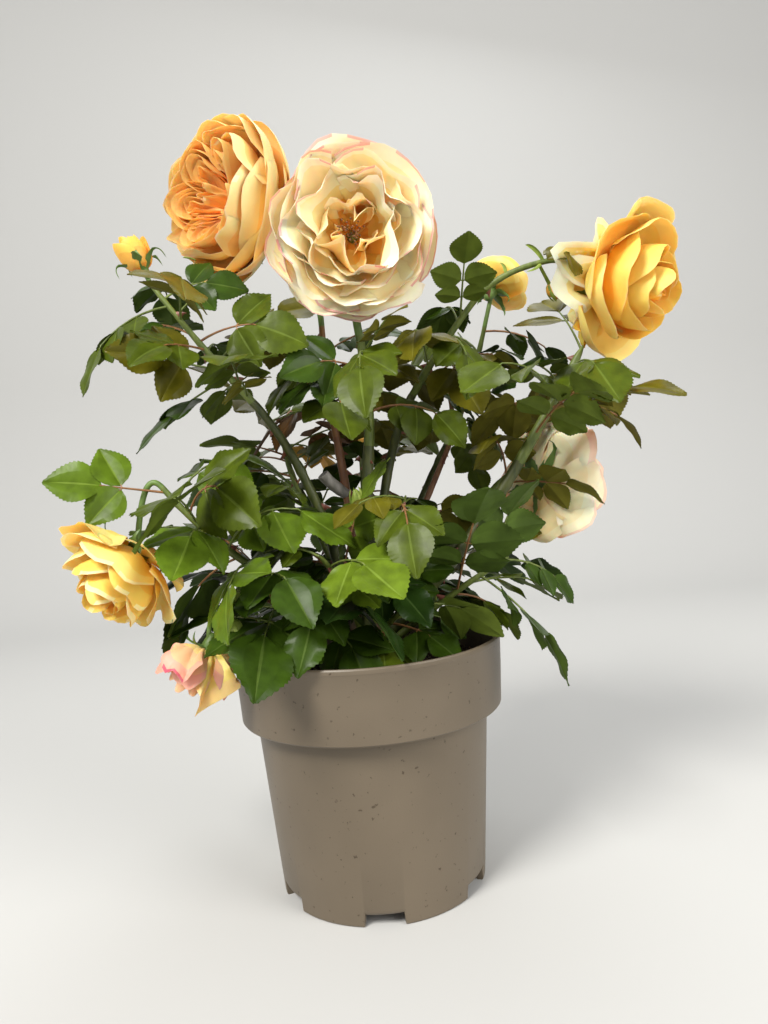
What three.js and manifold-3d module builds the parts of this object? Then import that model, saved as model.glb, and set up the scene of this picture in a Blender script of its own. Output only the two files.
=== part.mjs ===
// A potted rose bush: a nursery pot of compost, a short rootstock, canes, masses of compound
// leaves, and seven blooms with a bud. Millimetres, +Z up. The origin is the middle of the
// pot's flat underside, and the front of the plant looks along -Y.
import * as THREE from "three";
import { mergeVertices } from "three/addons/utils/BufferGeometryUtils.js";
import Module from "manifold-3d";

const wasm = await Module();
wasm.setup();

// Pot
const POT_HEIGHT = 190;
const RIM_RADIUS = 105;
const COLLAR_RADIUS = 102;
const COLLAR_HEIGHT = 52;
const NECK_RADIUS = 91;
const BASE_RADIUS = 80;
const WALL = 2.4;
const LIP = 3.6;
const FLOOR_RISE = 10;
const HUB_RADIUS = 50;
const NOTCHES = 6;
const NOTCH_WIDTH = 28;
const NOTCH_HEIGHT = 9;
const POT_SIDES = 36;

// Compost and rootstock
const SOIL_HEIGHT = 165;
const SOIL_DIP = 3;
const ROOTSTOCK_HEIGHT = 42;
const ROOTSTOCK_SIDES = 12;
const ROOTSTOCK_RADII = [17, 15, 13.5, 14.5, 13, 9];
const FOOT_RADIUS = 7.5;

// Between pieces that touch
const GAP = 0.3;

const MERGED = 0.01;
const STRAIGHT = 1e-3;

// Limbs and leaves
const CANE_SIDES = 7;
const STEM_SIDES = 6;
const GOLDEN_ANGLE = 137.5;
const LEAN = 62;
const ROOM = 2.4;
const TRIES = 5;
const FIRST_LEAF = 0.4;
const LAST_LEAF = 0.97;
const RACHIS_RADIUS = 1;
const RACHIS_STEPS = [0, 0.42, 0.72, 1];
const PAIRS = [
  { node: 2, share: 0.95, swing: 58 },
  { node: 1, share: 0.76, swing: 66 },
];
const LEAF_THICKNESS = 1.5;
const RACHIS_WIDTH = 2.2;
const LEAFLET_BACK = 1;
const LEAFLET_FRONT = 4;
const LEAFLET_FRONT_MOST = 11;
const UP = new THREE.Vector3(0, 0, 1);

// A cane leaves the rootstock at its foot: [compass in degrees, height above the soil]. Its tip
// lies spread mm out from the rootstock's axis at its compass, and rise mm above its foot. A
// compass of 0 is +X and 90 is the back. A positive bow climbs first and then arches outwards.
const CANES = [
  { name: "cane_centre", foot: [-80, 34], compass: -28, spread: 15, rise: 141, bow: 0.2, radii: [5.2, 4.2] },
  { name: "cane_upper_left", foot: [185, 34], compass: -163, spread: 75, rise: 180, bow: 0.38, radii: [4.4, 3] },
  { name: "cane_arching", foot: [10, 36], compass: 19, spread: 54, rise: 178, bow: 0.45, radii: [4.2, 3.2] },
  { name: "cane_right", foot: [-20, 20], compass: -4, spread: 129, rise: 134, bow: -0.15, radii: [5.6, 4.4] },
  { name: "cane_right_rear", foot: [22, 17], compass: 11, spread: 114, rise: 116, bow: 0, radii: [4.6, 3.2] },
  { name: "cane_red_right", foot: [45, 30], compass: 28, spread: 89, rise: 140, bow: 0, radii: [3.2, 2.2] },
  { name: "cane_inner_left", foot: [105, 36], compass: 127, spread: 21, rise: 149, bow: 0.3, radii: [4, 3] },
  { name: "cane_low_left", foot: [-160, 20], compass: -158, spread: 82, rise: 67, bow: 0.1, radii: [4.2, 3] },
  { name: "cane_back_left", foot: [140, 26], compass: 127, spread: 86, rise: 119, bow: 0.2, radii: [4.2, 3] },
  { name: "cane_back_right", foot: [62, 24], compass: 41, spread: 111, rise: 156, bow: 0.1, radii: [4.4, 3] },
  { name: "cane_back", foot: [95, 18], compass: 88, spread: 92, rise: 102, bow: 0, radii: [4, 3] },
];

// A mass grows along its own stem, onwards from the tip of its cane or from the rootstock. It has
// up to so many leaves, with leaflets of about the given length, and its seed settles how each
// one turns.
const MASSES = [
  { name: "leaves_centre", from: "cane_centre", compass: -98, spread: 7, rise: 85, radii: [4.2, 3.2],
    leaves: 7, leaflet: 36, seed: 58 },
  { name: "leaves_upper_left", from: "cane_upper_left", compass: -175, spread: 66, rise: 90,
    radii: [3, 1.8], leaves: 9, leaflet: 40, seed: 227 },
  { name: "leaves_arching", from: "cane_arching", compass: -3, spread: 53, rise: 69, radii: [3.2, 2.6],
    leaves: 7, leaflet: 38, seed: 226 },
  { name: "cane_arching_end", from: "leaves_arching", compass: -11, spread: 60, rise: 26, radii: [2.6, 2.2],
    leaves: 0 },
  { name: "leaves_arching_end", from: "cane_arching_end", compass: -11, spread: 15, rise: -1,
    radii: [2.2, 2.1], leaves: 3, leaflet: 22, seed: 104 },
  { name: "leaves_right", from: "cane_right", compass: -2, spread: 55, rise: 85, radii: [4.4, 2.6],
    leaves: 9, leaflet: 44, seed: 99 },
  { name: "leaves_right_rear", from: "cane_right_rear", compass: 11, spread: 20, rise: 14,
    radii: [3.2, 2.2], leaves: 4, leaflet: 36, seed: 50 },
  { name: "leaves_red_right", from: "cane_red_right", compass: 180, spread: 2, rise: 67, radii: [2.2, 1.4],
    leaves: 6, leaflet: 32, seed: 107 },
  { name: "leaves_inner_left", from: "cane_inner_left", compass: 169, spread: 5, rise: 90, radii: [3, 2.4],
    leaves: 9, leaflet: 38, seed: 108 },
  { name: "leaves_low_left", from: "cane_low_left", compass: -171, spread: 65, rise: 68, radii: [3, 2.2],
    leaves: 10, leaflet: 46, seed: 148 },
  { name: "leaves_lowest_left", foot: [-140, 14], compass: -152, spread: 104, rise: 61, bow: 0.3,
    radii: [3.2, 2], leaves: 8, leaflet: 44, seed: 218 },
  { name: "leaves_front", foot: [-110, 24], compass: -114, spread: 68, rise: 74, bow: 0.3,
    radii: [2.8, 1.8], leaves: 8, leaflet: 38, seed: 180 },
  { name: "leaves_front_left", foot: [-125, 12], compass: -130, spread: 91, rise: 38, bow: 0.3,
    radii: [2.8, 2], leaves: 8, leaflet: 40, seed: 116 },
  { name: "leaves_front_right", foot: [-60, 12], compass: -61, spread: 71, rise: 45, bow: 0.3,
    radii: [2.8, 1.8], leaves: 8, leaflet: 34, seed: 64 },
  { name: "leaves_low_right", foot: [-25, 10], compass: -15, spread: 116, rise: 73, bow: 0.1, radii: [3, 2],
    leaves: 8, leaflet: 42, seed: 215 },
  { name: "leaves_inner_right", foot: [-50, 30], compass: -40, spread: 50, rise: 105, bow: 0.2,
    radii: [2.8, 1.8], leaves: 7, leaflet: 36, seed: 88 },
  { name: "leaves_mid_left", foot: [155, 32], compass: 158, spread: 58, rise: 128, bow: 0.1,
    radii: [3, 1.8], leaves: 8, leaflet: 38, seed: 81 },
  { name: "leaves_back_left", from: "cane_back_left", compass: 125, spread: 24, rise: 62, radii: [3, 1.8],
    leaves: 7, leaflet: 40, seed: 206 },
  { name: "leaves_back_right", from: "cane_back_right", compass: 5, spread: 38, rise: 95, radii: [3, 2],
    leaves: 7, leaflet: 38, seed: 178 },
  { name: "leaves_back", from: "cane_back", compass: 90, spread: 28, rise: 60, radii: [3, 1.8],
    leaves: 7, leaflet: 40, seed: 63 },
  { name: "leaves_low_back_left", foot: [160, 12], compass: 144, spread: 105, rise: 58, bow: 0.2,
    radii: [3, 1.8], leaves: 8, leaflet: 42, seed: 66 },
  { name: "leaves_low_back_right", foot: [60, 10], compass: 45, spread: 110, rise: 65, bow: 0.2,
    radii: [3, 1.8], leaves: 8, leaflet: 42, seed: 78 },
];

// A flower head is a body round the bloom's axis. Each row of its profile is a crest of petals,
// with their number and turn, or the groove inside it, as shares of the bloom's radius and depth.
const HEAD_COLUMNS = 20;
const SCALLOP = 0.16;
const OPEN_HEAD = [
  { out: 0.7, along: 0.08 },
  { out: 1, along: 0.52, petals: 5, turn: 0 },
  { out: 0.76, along: 0.4 },
  { out: 0.72, along: 0.88, petals: 5, turn: 36 },
  { out: 0.5, along: 0.64 },
  { out: 0.42, along: 0.98, petals: 4, turn: 9 },
  { out: 0.22, along: 0.76 },
  { out: 0, along: 0.84 },
];
const CUPPED_HEAD = [
  { out: 0.66, along: 0.1 },
  { out: 1, along: 0.55, petals: 5, turn: 0 },
  { out: 0.84, along: 0.46 },
  { out: 0.8, along: 0.9, petals: 5, turn: 36 },
  { out: 0.58, along: 0.7 },
  { out: 0.46, along: 1, petals: 4, turn: 9 },
  { out: 0.2, along: 0.84 },
  { out: 0, along: 0.96 },
];
const BUD_HEAD = [
  { out: 0.85, along: 0.18 },
  { out: 1, along: 0.5 },
  { out: 0.5, along: 0.98, petals: 5, turn: 0 },
  { out: 0, along: 0.85 },
];
const SEPALS = 5;
const SEPAL_REACH = 0.4;
const SEPAL_DROP = 0.18;
const HIP_RADIUS = 4.5;

// A bloom's stalk goes on from the tip of its mass. The bloom looks along its facing compass and
// tilt, and its petals open over its depth to its radius.
const BLOOMS = [
  { name: "bloom_front", from: "leaves_centre", compass: -85, spread: 12, rise: 70, radii: [3.2, 2.8],
    faces: -90, tilt: -8, depth: 49, radius: 60, head: OPEN_HEAD, tint: "cream" },
  { name: "bloom_upper_left", from: "leaves_inner_left", compass: 159, spread: 53, rise: 103,
    radii: [2.4, 2.4], faces: -133, tilt: 2, depth: 57, radius: 64, head: CUPPED_HEAD, tint: "apricot" },
  { name: "bloom_right", from: "leaves_arching_end", compass: -9, spread: 30, rise: -19, radii: [2.1, 2.4],
    faces: -46, tilt: -21, depth: 60, radius: 53, head: CUPPED_HEAD, tint: "yellow" },
  { name: "bloom_rear_right", from: "leaves_right_rear", compass: 18, spread: 19, rise: -7,
    radii: [2.2, 2.2], faces: 38, tilt: -11, depth: 62, radius: 44, head: CUPPED_HEAD, tint: "blush" },
  { name: "bloom_low_left", from: "leaves_low_left", compass: -173, spread: 22, rise: -49,
    radii: [2.2, 2.2], faces: -131, tilt: -42, depth: 54, radius: 42, head: CUPPED_HEAD, tint: "yellow" },
  { name: "bloom_faded", from: "leaves_lowest_left", compass: -149, spread: 23, rise: -37, radii: [2, 1.8],
    faces: -160, tilt: -64, depth: 34, radius: 25, head: CUPPED_HEAD, tint: "faded" },
  { name: "bloom_back", from: "leaves_back_right", compass: -18, spread: 9, rise: 30, radii: [2, 1.8],
    faces: 35, tilt: 45, depth: 34, radius: 27, head: CUPPED_HEAD, tint: "yellow" },
  { name: "bud_left", from: "leaves_upper_left", compass: -164, spread: 5, rise: 12, radii: [1.8, 1.8],
    faces: -170, tilt: 66, depth: 28, radius: 13, head: BUD_HEAD, tint: "yellow" },
];

const from = (v) => new THREE.Vector3(v.x, v.y, v.z);
const plus = (a, b) => from(a).add(b);
const minus = (a, b) => from(a).sub(b);
const times = (a, k) => from(a).multiplyScalar(k);
const unit = (a) => from(a).normalize();
const cross = (a, b) => from(a).cross(b);
const mix = (a, b, t) => from(a).lerp(b, t);
const rad = THREE.MathUtils.degToRad;

// A point at a compass bearing, so far out and so high.
function bearing(compass, spread, rise) {
  const a = rad(compass);
  return new THREE.Vector3(spread * Math.cos(a), spread * Math.sin(a), rise);
}

// A seeded stream of numbers, each between low and high.
function randomFrom(seed) {
  let state = (seed * 7919) % 2147483647;
  const draw = (low = 0, high = 1) => {
    state = (state * 48271) % 2147483647;
    return low + ((high - low) * state) / 2147483647;
  };
  for (let i = 0; i < 3; i += 1) draw();
  return draw;
}

// Two directions across a heading.
function across(heading) {
  const reference = Math.abs(heading.z) < 0.9 ? UP : new THREE.Vector3(0, 1, 0);
  const side = unit(cross(heading, reference));
  return [side, cross(side, heading)];
}

// A path is a quadratic curve given by its start, its pull and its end.
const pointOn = (path, t) => mix(mix(path[0], path[1], t), mix(path[1], path[2], t), t);
const headingOn = (path, t) => unit(minus(mix(path[1], path[2], t), mix(path[0], path[1], t)));

function bowedPath(start, end, bow) {
  const chord = minus(end, start);
  const outwards = 0.5 - bow / 2;
  const upwards = 0.5 + bow / 2;
  return [start, plus(start, { x: chord.x * outwards, y: chord.y * outwards, z: chord.z * upwards }), end];
}

// A path that goes on from a limb's tip in the same direction, a gap clear of it.
function onwardPath(parent, { compass, spread, rise }) {
  const tip = parent.path[2];
  const heading = headingOn(parent.path, 1);
  const start = plus(tip, times(heading, GAP));
  const end = plus(tip, bearing(compass, spread, rise));
  return [start, plus(start, times(heading, 0.45 * minus(end, start).length())), end];
}

function rootedPath({ foot, compass, spread, rise, bow }) {
  const start = bearing(foot[0], FOOT_RADIUS, SOIL_HEIGHT + foot[1]);
  const end = plus(new THREE.Vector3(0, 0, start.z), bearing(compass, spread, rise));
  return bowedPath(start, end, bow);
}

function limbAlong(path, radii, steps) {
  const shares = Array.from({ length: steps + 1 }, (_, i) => i / steps);
  return {
    path,
    steps,
    points: shares.map((t) => pointOn(path, t)),
    radii: shares.map((t) => radii[0] + (radii[1] - radii[0]) * t),
  };
}

// Solids
function solidOf(geometry) {
  const bare = geometry.clone();
  bare.deleteAttribute("normal");
  bare.deleteAttribute("uv");
  const merged = mergeVertices(bare, 1e-4);
  return new wasm.Manifold(
    new wasm.Mesh({
      numProp: 3,
      vertProperties: new Float32Array(merged.attributes.position.array),
      triVerts: new Uint32Array(merged.index.array),
    }),
  );
}

function geometryOf(solid) {
  const mesh = solid.getMesh();
  const geometry = new THREE.BufferGeometry();
  geometry.setAttribute("position", new THREE.BufferAttribute(mesh.vertProperties, 3));
  geometry.setIndex(new THREE.BufferAttribute(mesh.triVerts, 1));
  geometry.computeVertexNormals();
  return geometry;
}

// Several solids as one body: what they seal in is filled, and a loose scrap is dropped.
function fuse(solids) {
  const bodies = wasm.Manifold.union(solids).decompose();
  const largest = bodies.reduce((a, b) => (a.volume() > b.volume() ? a : b));
  return largest.simplify(MERGED);
}

function closedFrom(points, triangles) {
  const geometry = new THREE.BufferGeometry();
  const numbers = points.flatMap((p) => [p.x, p.y, p.z]);
  geometry.setAttribute("position", new THREE.Float32BufferAttribute(numbers, 3));
  geometry.setIndex(triangles.flat());
  return solidOf(geometry);
}

// A closed taper along a path: a cylinder whose rings are set square to the path.
function taper({ path, radii, steps }, sides, extra = 0) {
  const geometry = new THREE.CylinderGeometry(1, 1, 1, sides, steps);
  const place = geometry.attributes.position;
  const bend = cross(minus(path[1], path[0]), minus(path[2], path[1]));
  const side = bend.length() > STRAIGHT ? unit(bend) : across(headingOn(path, 0))[0];
  for (let i = 0; i < place.count; i += 1) {
    const t = place.getY(i) + 0.5;
    const other = cross(headingOn(path, t), side);
    const radius = radii[0] + (radii[steps] - radii[0]) * t + extra;
    const offset = plus(times(side, place.getZ(i) * radius), times(other, place.getX(i) * radius));
    const p = plus(pointOn(path, t), offset);
    place.setXYZ(i, p.x, p.y, p.z);
  }
  return solidOf(geometry);
}

// Leaves
// A leaflet's outline over its length: along the midrib, across it and off it. A leaflet beside
// the rachis is simpler.
const BLADE_OUTLINE = [
  [0, 0, 0],
  [0.34, 0.31, 0.04],
  [0.7, 0.23, 0.02],
  [1, 0, -0.08],
  [0.7, -0.23, 0.02],
  [0.34, -0.31, 0.04],
];
const SIDE_OUTLINE = [
  [0.5, 0.34, 0.03],
  [1, 0, -0.08],
  [0.5, -0.34, 0.03],
];

function bladePoint({ base, axis, normal, size }, [along, sideways, off]) {
  const side = cross(normal, axis);
  const flat = plus(times(axis, along * size), times(side, sideways * size));
  return plus(base, plus(flat, times(normal, off * size)));
}

// A leaflet with what its clearance is tested by: a kite of two triangles, each shown on both
// faces of the blade, and the kite's edges and midrib.
function bladeOf(base, axis, normal, size, node, hand) {
  const leaflet = { base, axis, normal, size, node, hand };
  const kite = [
    [-0.02, 0, 0],
    [0.47, 0.42, 0.03],
    [1.04, 0, -0.07],
    [0.47, -0.42, 0.03],
  ].map((share) => bladePoint(leaflet, share));
  const [a, b, c, d] = kite;
  const shells = [1, -1].flatMap((face) => {
    const [e, f, g, h] = kite.map((p) => plus(p, times(normal, 0.9 * face)));
    return [[e, f, g], [e, g, h]];
  });
  return {
    ...leaflet,
    outline: BLADE_OUTLINE.map((share) => bladePoint(leaflet, share)),
    centre: plus(base, times(axis, 0.48 * size)),
    reach: 0.58 * size,
    shells,
    edges: [[a, b], [b, c], [c, d], [d, a], [a, c], [b, d]],
  };
}

// A compound leaf: a rachis that leaves its stem and droops, a leaflet at its end, and one or two
// pairs of leaflets beside it.
function compoundLeaf(root, heading, turn, spread, size, pairs, droop, draw) {
  const [side, other] = across(heading);
  const out = plus(times(side, Math.cos(turn)), times(other, Math.sin(turn)));
  const start = unit(plus(times(heading, Math.cos(spread)), times(out, Math.sin(spread))));
  const reach = size * (pairs === 2 ? 1.8 : 1.2);
  const via = plus(root, times(start, reach * 0.5));
  const tip = plus(via, times(unit(plus(start, { x: 0, y: 0, z: -droop })), reach * 0.5));
  const rachis = [root, via, tip];
  const outward = unit({ x: start.x, y: start.y, z: 1e-6 });
  const face = plus(times(UP, 0.75), times(outward, draw(0.1, 0.75)));
  const roll = draw(-0.7, 0.7);
  const nodes = RACHIS_STEPS.map((t) => {
    const along = headingOn(rachis, t);
    const off = plus(face, times(outward, -0.6 * along.z));
    const normal = unit(minus(off, times(along, off.dot(along)))).applyAxisAngle(along, roll);
    return { point: pointOn(rachis, t), along, normal };
  });
  const blade = (node, hand, towards, length, swing) => {
    const axis = unit(plus(towards, { x: 0, y: 0, z: -0.55 * droop }));
    const off = nodes[node].normal;
    const normal = unit(minus(off, times(axis, off.dot(axis)))).applyAxisAngle(axis, swing);
    return bladeOf(nodes[node].point, axis, normal, length, node, hand);
  };
  const blades = [blade(3, 0, nodes[3].along, size * 1.08, draw(-0.3, 0.3))];
  for (const pair of PAIRS.slice(0, pairs)) {
    const { along, normal } = nodes[pair.node];
    for (const hand of [-1, 1]) {
      const angle = rad(pair.swing + draw(-8, 8)) * hand;
      const length = size * pair.share * draw(0.92, 1.04);
      const towards = from(along).applyAxisAngle(normal, angle);
      blades.push(blade(pair.node, hand, towards, length, draw(-0.3, 0.3)));
    }
  }
  return { nodes, points: nodes.map((node) => node.point), blades };
}

// Clearance
const spans = (points) => points.slice(1).map((p, i) => [points[i], p]);
const midway = (points) => spans(points).map(([p, q]) => mix(p, q, 0.5));
const clamp = (t) => Math.min(1, Math.max(0, t));

function segmentGap(p1, q1, p2, q2) {
  const d1 = minus(q1, p1);
  const d2 = minus(q2, p2);
  const r = minus(p1, p2);
  const a = d1.dot(d1);
  const e = d2.dot(d2);
  const f = d2.dot(r);
  const c = d1.dot(r);
  const b = d1.dot(d2);
  const square = a * e - b * b;
  let s = square > 1e-9 ? clamp((b * f - c * e) / square) : 0;
  let t = (b * s + f) / e;
  if (t < 0) {
    t = 0;
    s = clamp(-c / a);
  } else if (t > 1) {
    t = 1;
    s = clamp((b - c) / a);
  }
  return minus(plus(p1, times(d1, s)), plus(p2, times(d2, t))).length();
}

function pointGap(p, q, x) {
  const d = minus(q, p);
  const t = clamp(minus(x, p).dot(d) / d.dot(d));
  return minus(x, plus(p, times(d, t))).length();
}

function pierces(p, q, [a, b, c]) {
  const d = minus(q, p);
  const e1 = minus(b, a);
  const e2 = minus(c, a);
  const h = cross(d, e2);
  const det = e1.dot(h);
  if (Math.abs(det) < 1e-9) return false;
  const s = minus(p, a);
  const u = s.dot(h) / det;
  if (u < 0 || u > 1) return false;
  const k = cross(s, e1);
  const v = d.dot(k) / det;
  if (v < 0 || u + v > 1) return false;
  const t = e2.dot(k) / det;
  return t >= 0 && t <= 1;
}

function clearOfPot(p) {
  const r = Math.hypot(p.x, p.y);
  if (p.z > POT_HEIGHT + 2) return true;
  if (r < RIM_RADIUS - 8 && p.z > SOIL_HEIGHT + 3) return true;
  return r > RIM_RADIUS + 2.5 && p.z > 40;
}

function bladesTouch(one, two) {
  if (minus(one.centre, two.centre).length() > one.reach + two.reach + 2) return false;
  const through = (edges, shells) => edges.some(([p, q]) => shells.some((shell) => pierces(p, q, shell)));
  return through(one.edges, two.shells) || through(two.edges, one.shells);
}

function bladeHits(blade, p, q, radius) {
  const middle = mix(p, q, 0.5);
  const near = blade.reach + radius + minus(p, q).length() / 2 + 2;
  if (minus(blade.centre, middle).length() > near) return false;
  if (blade.shells.slice(0, 2).some((shell) => pierces(p, q, shell))) return true;
  return blade.edges.some(([a, b]) => segmentGap(a, b, p, q) < radius + 0.9);
}

// Whether a point lies in the space that a bloom's petals fill.
function inBloom(bloom, p) {
  const v = minus(p, bloom.centre);
  const h = v.dot(bloom.axis);
  const across2 = Math.max(0, v.dot(v) - h * h);
  return across2 / (bloom.radius + 3) ** 2 + (h / (0.62 * bloom.depth + 3)) ** 2 < 1;
}

function pointFits(p, stem, room) {
  if (!clearOfPot(p) || spans(stem.points).every(([a, b]) => pointGap(a, b, p) >= room)) return false;
  return !blooms.some((bloom) => inBloom(bloom, p));
}

function rachisFits(leaf, stem, room, others) {
  if (!midway(leaf.points).every(clearOfPot)) return false;
  if (!leaf.points.slice(1).every((p) => pointFits(p, stem, room))) return false;
  for (const limb of limbs.values()) {
    const parts = spans(limb === stem ? leaf.points.slice(1) : leaf.points);
    const touches = spans(limb.points).some(([p, q], i) =>
      parts.some(([a, b]) => segmentGap(a, b, p, q) < limb.radii[i] + 1.6),
    );
    if (touches) return false;
  }
  return !others.some((other) =>
    spans(leaf.points).some(
      ([a, b]) =>
        spans(other.points).some(([p, q]) => segmentGap(a, b, p, q) < 2.4) ||
        other.blades.some((blade) => bladeHits(blade, a, b, RACHIS_RADIUS)),
    ),
  );
}

function bladeFits(blade, stem, room, others) {
  if (!midway([...blade.outline, blade.outline[0]]).every(clearOfPot)) return false;
  if (![...blade.outline, blade.centre].every((p) => pointFits(p, stem, room))) return false;
  for (const limb of limbs.values()) {
    if (spans(limb.points).some(([p, q], i) => bladeHits(blade, p, q, limb.radii[i]))) return false;
  }
  return !others.some(
    (other) =>
      other.blades.some((one) => bladesTouch(blade, one)) ||
      spans(other.points).some(([p, q]) => bladeHits(blade, p, q, RACHIS_RADIUS)),
  );
}

// The leaf with those of its leaflets that fit, or nothing when its rachis, its end leaflet or
// most of the others would touch something.
function fittedLeaf(leaf, stem, room, others) {
  if (!rachisFits(leaf, stem, room, others)) return null;
  if (!bladeFits(leaf.blades[0], stem, room, others)) return null;
  const blades = leaf.blades.filter((blade, i) => i === 0 || bladeFits(blade, stem, room, others));
  return blades.length > 2 ? { ...leaf, blades } : null;
}

// A mass's leaves turn round its stem by the golden angle. One that doesn't fit is tried again,
// turned another way, and skipped when no try fits.
function leavesOf(mass, others) {
  const stem = limbs.get(mass.name);
  const first = mass.foot ? FIRST_LEAF : 0;
  const phase = randomFrom(mass.seed)(0, 360);
  const kept = [];
  for (let k = 0; k < mass.leaves; k += 1) {
    const at = first + (LAST_LEAF - first) * (k / (mass.leaves - 1));
    for (let attempt = 0; attempt < TRIES; attempt += 1) {
      const draw = randomFrom(mass.seed * 97 + k * TRIES + attempt + 1);
      const turn = rad(phase + k * GOLDEN_ANGLE + draw(-30, 30));
      const spread = rad(LEAN + draw(-18, 18));
      const size = mass.leaflet * draw(0.82, 1.1);
      const pairs = draw() > 0.25 ? 2 : 1;
      const droop = draw(0.1, 1);
      const root = pointOn(stem.path, at);
      const whole = compoundLeaf(root, headingOn(stem.path, at), turn, spread, size, pairs, droop, draw);
      const leaf = fittedLeaf(whole, stem, ROOM * mass.leaflet, [...others, ...kept]);
      if (leaf) {
        kept.push(leaf);
        break;
      }
    }
  }
  return kept;
}

// A leaf as one thin body. Its two faces meet at its rim, and stand apart by its thickness at the
// rachis.
function leafSolid(leaf) {
  const points = [];
  const top = [];
  const keep = (p) => points.push(p) - 1;
  const middles = [];
  const under = new Map();
  const corners = leaf.nodes.map(({ point, along, normal }, k) => {
    const blades = leaf.blades.filter((blade) => blade.node === k);
    const off = unit(blades.reduce((sum, blade) => plus(sum, blade.normal), normal));
    const leftward = unit(cross(off, along));
    const corner = (forward, hand) =>
      keep(plus(point, plus(times(along, forward), times(leftward, (hand * RACHIS_WIDTH) / 2))));
    // A leaflet that leans further forward is joined to the rachis further along it.
    const join = (hand) => {
      const blade = blades.find((one) => one.hand === hand);
      if (!blade) return LEAFLET_FRONT;
      const near = bladePoint(blade, SIDE_OUTLINE[hand < 0 ? 0 : 2]);
      const lean = minus(near, point);
      const slope = lean.dot(along) / Math.max(1, hand * lean.dot(leftward));
      return Math.min(LEAFLET_FRONT_MOST, Math.max(LEAFLET_FRONT, 0.7 * RACHIS_WIDTH * slope));
    };
    middles.push(keep(plus(point, times(off, LEAF_THICKNESS / 2))));
    under.set(middles[k], keep(minus(point, times(off, LEAF_THICKNESS / 2))));
    if (k === 0) {
      const behind = corner(-LEAFLET_BACK, 0);
      return { behind, right: { front: corner(0, -1) }, left: { front: corner(0, 1) } };
    }
    const right = { back: corner(-LEAFLET_BACK, -1) };
    const left = { back: corner(-LEAFLET_BACK, 1) };
    if (k === 3) return { right, left };
    right.front = corner(join(-1), -1);
    left.front = corner(join(1), 1);
    return { right, left };
  });
  // A fan of triangles from a node's middle over rim points that turn left round it.
  const fan = (k, rim) => spans(rim).forEach(([a, b]) => top.push([middles[k], a, b]));
  fan(0, [corners[0].left.front, corners[0].behind, corners[0].right.front]);
  for (let k = 0; k < 3; k += 1) {
    const [here, next] = [corners[k], corners[k + 1]];
    fan(k, [here.right.front, next.right.back, middles[k + 1], next.left.back, here.left.front]);
  }
  for (const k of [1, 2]) {
    const side = (hand) => {
      const blade = leaf.blades.find((one) => one.node === k && one.hand === hand);
      return blade ? SIDE_OUTLINE.map((share) => keep(bladePoint(blade, share))) : [];
    };
    fan(k, [corners[k].right.back, ...side(-1).reverse(), corners[k].right.front]);
    fan(k, [corners[k].left.front, ...side(1).reverse(), corners[k].left.back]);
  }
  const end = BLADE_OUTLINE.slice(1).map((share) => keep(bladePoint(leaf.blades[0], share)));
  fan(3, [corners[3].right.back, ...end.reverse(), corners[3].left.back]);
  const below = (i) => under.get(i) ?? i;
  const bottom = top.map(([a, b, c]) => [below(a), below(c), below(b)]);
  return closedFrom(points, [...top, ...bottom]);
}

// Pot, compost and rootstock
function turned(profile, sides) {
  const points = profile.map(([radius, height]) => new THREE.Vector2(radius, height));
  return solidOf(new THREE.LatheGeometry(points, sides).rotateX(Math.PI / 2));
}

// The radius of the pot's outer face at a height, below its collar or on it.
function outerRadius(height) {
  const collarFoot = POT_HEIGHT - COLLAR_HEIGHT;
  if (height >= collarFoot) {
    return COLLAR_RADIUS + ((RIM_RADIUS - COLLAR_RADIUS) * (height - collarFoot)) / COLLAR_HEIGHT;
  }
  return BASE_RADIUS + ((NECK_RADIUS - BASE_RADIUS) * height) / collarFoot;
}
const innerRadius = (height) => outerRadius(height) - WALL;

// The pot's wall steps out at its collar and ends in a lip. Under it a ring-shaped channel runs
// round a flat hub, and notches in the foot lead out of it.
function potSolid() {
  const collarFoot = POT_HEIGHT - COLLAR_HEIGHT;
  const step = collarFoot - WALL;
  const channel = BASE_RADIUS - 2 * WALL;
  const shell = turned(
    [
      [0, 0],
      [HUB_RADIUS, 0],
      [HUB_RADIUS + WALL, FLOOR_RISE],
      [channel, FLOOR_RISE],
      [channel, 0],
      [BASE_RADIUS, 0],
      [outerRadius(step), step],
      [COLLAR_RADIUS - 1, step],
      [COLLAR_RADIUS, collarFoot],
      [RIM_RADIUS - 0.6, POT_HEIGHT - LIP],
      [RIM_RADIUS, POT_HEIGHT - LIP / 2],
      [RIM_RADIUS - 1, POT_HEIGHT],
      [innerRadius(POT_HEIGHT) - 0.6, POT_HEIGHT],
      [innerRadius(collarFoot + WALL), collarFoot + WALL],
      [innerRadius(step), collarFoot],
      [innerRadius(FLOOR_RISE), FLOOR_RISE + WALL],
      [0, FLOOR_RISE + WALL],
    ],
    POT_SIDES,
  );
  const notches = Array.from({ length: NOTCHES }, (_, i) => {
    const arch = new THREE.Shape();
    arch.moveTo(-NOTCH_WIDTH / 2, -1);
    arch.lineTo(NOTCH_WIDTH / 2, -1);
    arch.lineTo(NOTCH_WIDTH / 2 - 2, NOTCH_HEIGHT);
    arch.lineTo(-NOTCH_WIDTH / 2 + 2, NOTCH_HEIGHT);
    arch.closePath();
    const depth = 4 * WALL;
    return solidOf(
      new THREE.ExtrudeGeometry(arch, { depth, bevelEnabled: false })
        .translate(0, 0, BASE_RADIUS - 0.7 * depth)
        .rotateX(Math.PI / 2)
        .rotateZ((i * 2 * Math.PI) / NOTCHES),
    );
  });
  return fuse([shell.subtract(wasm.Manifold.union(notches))]);
}

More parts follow.
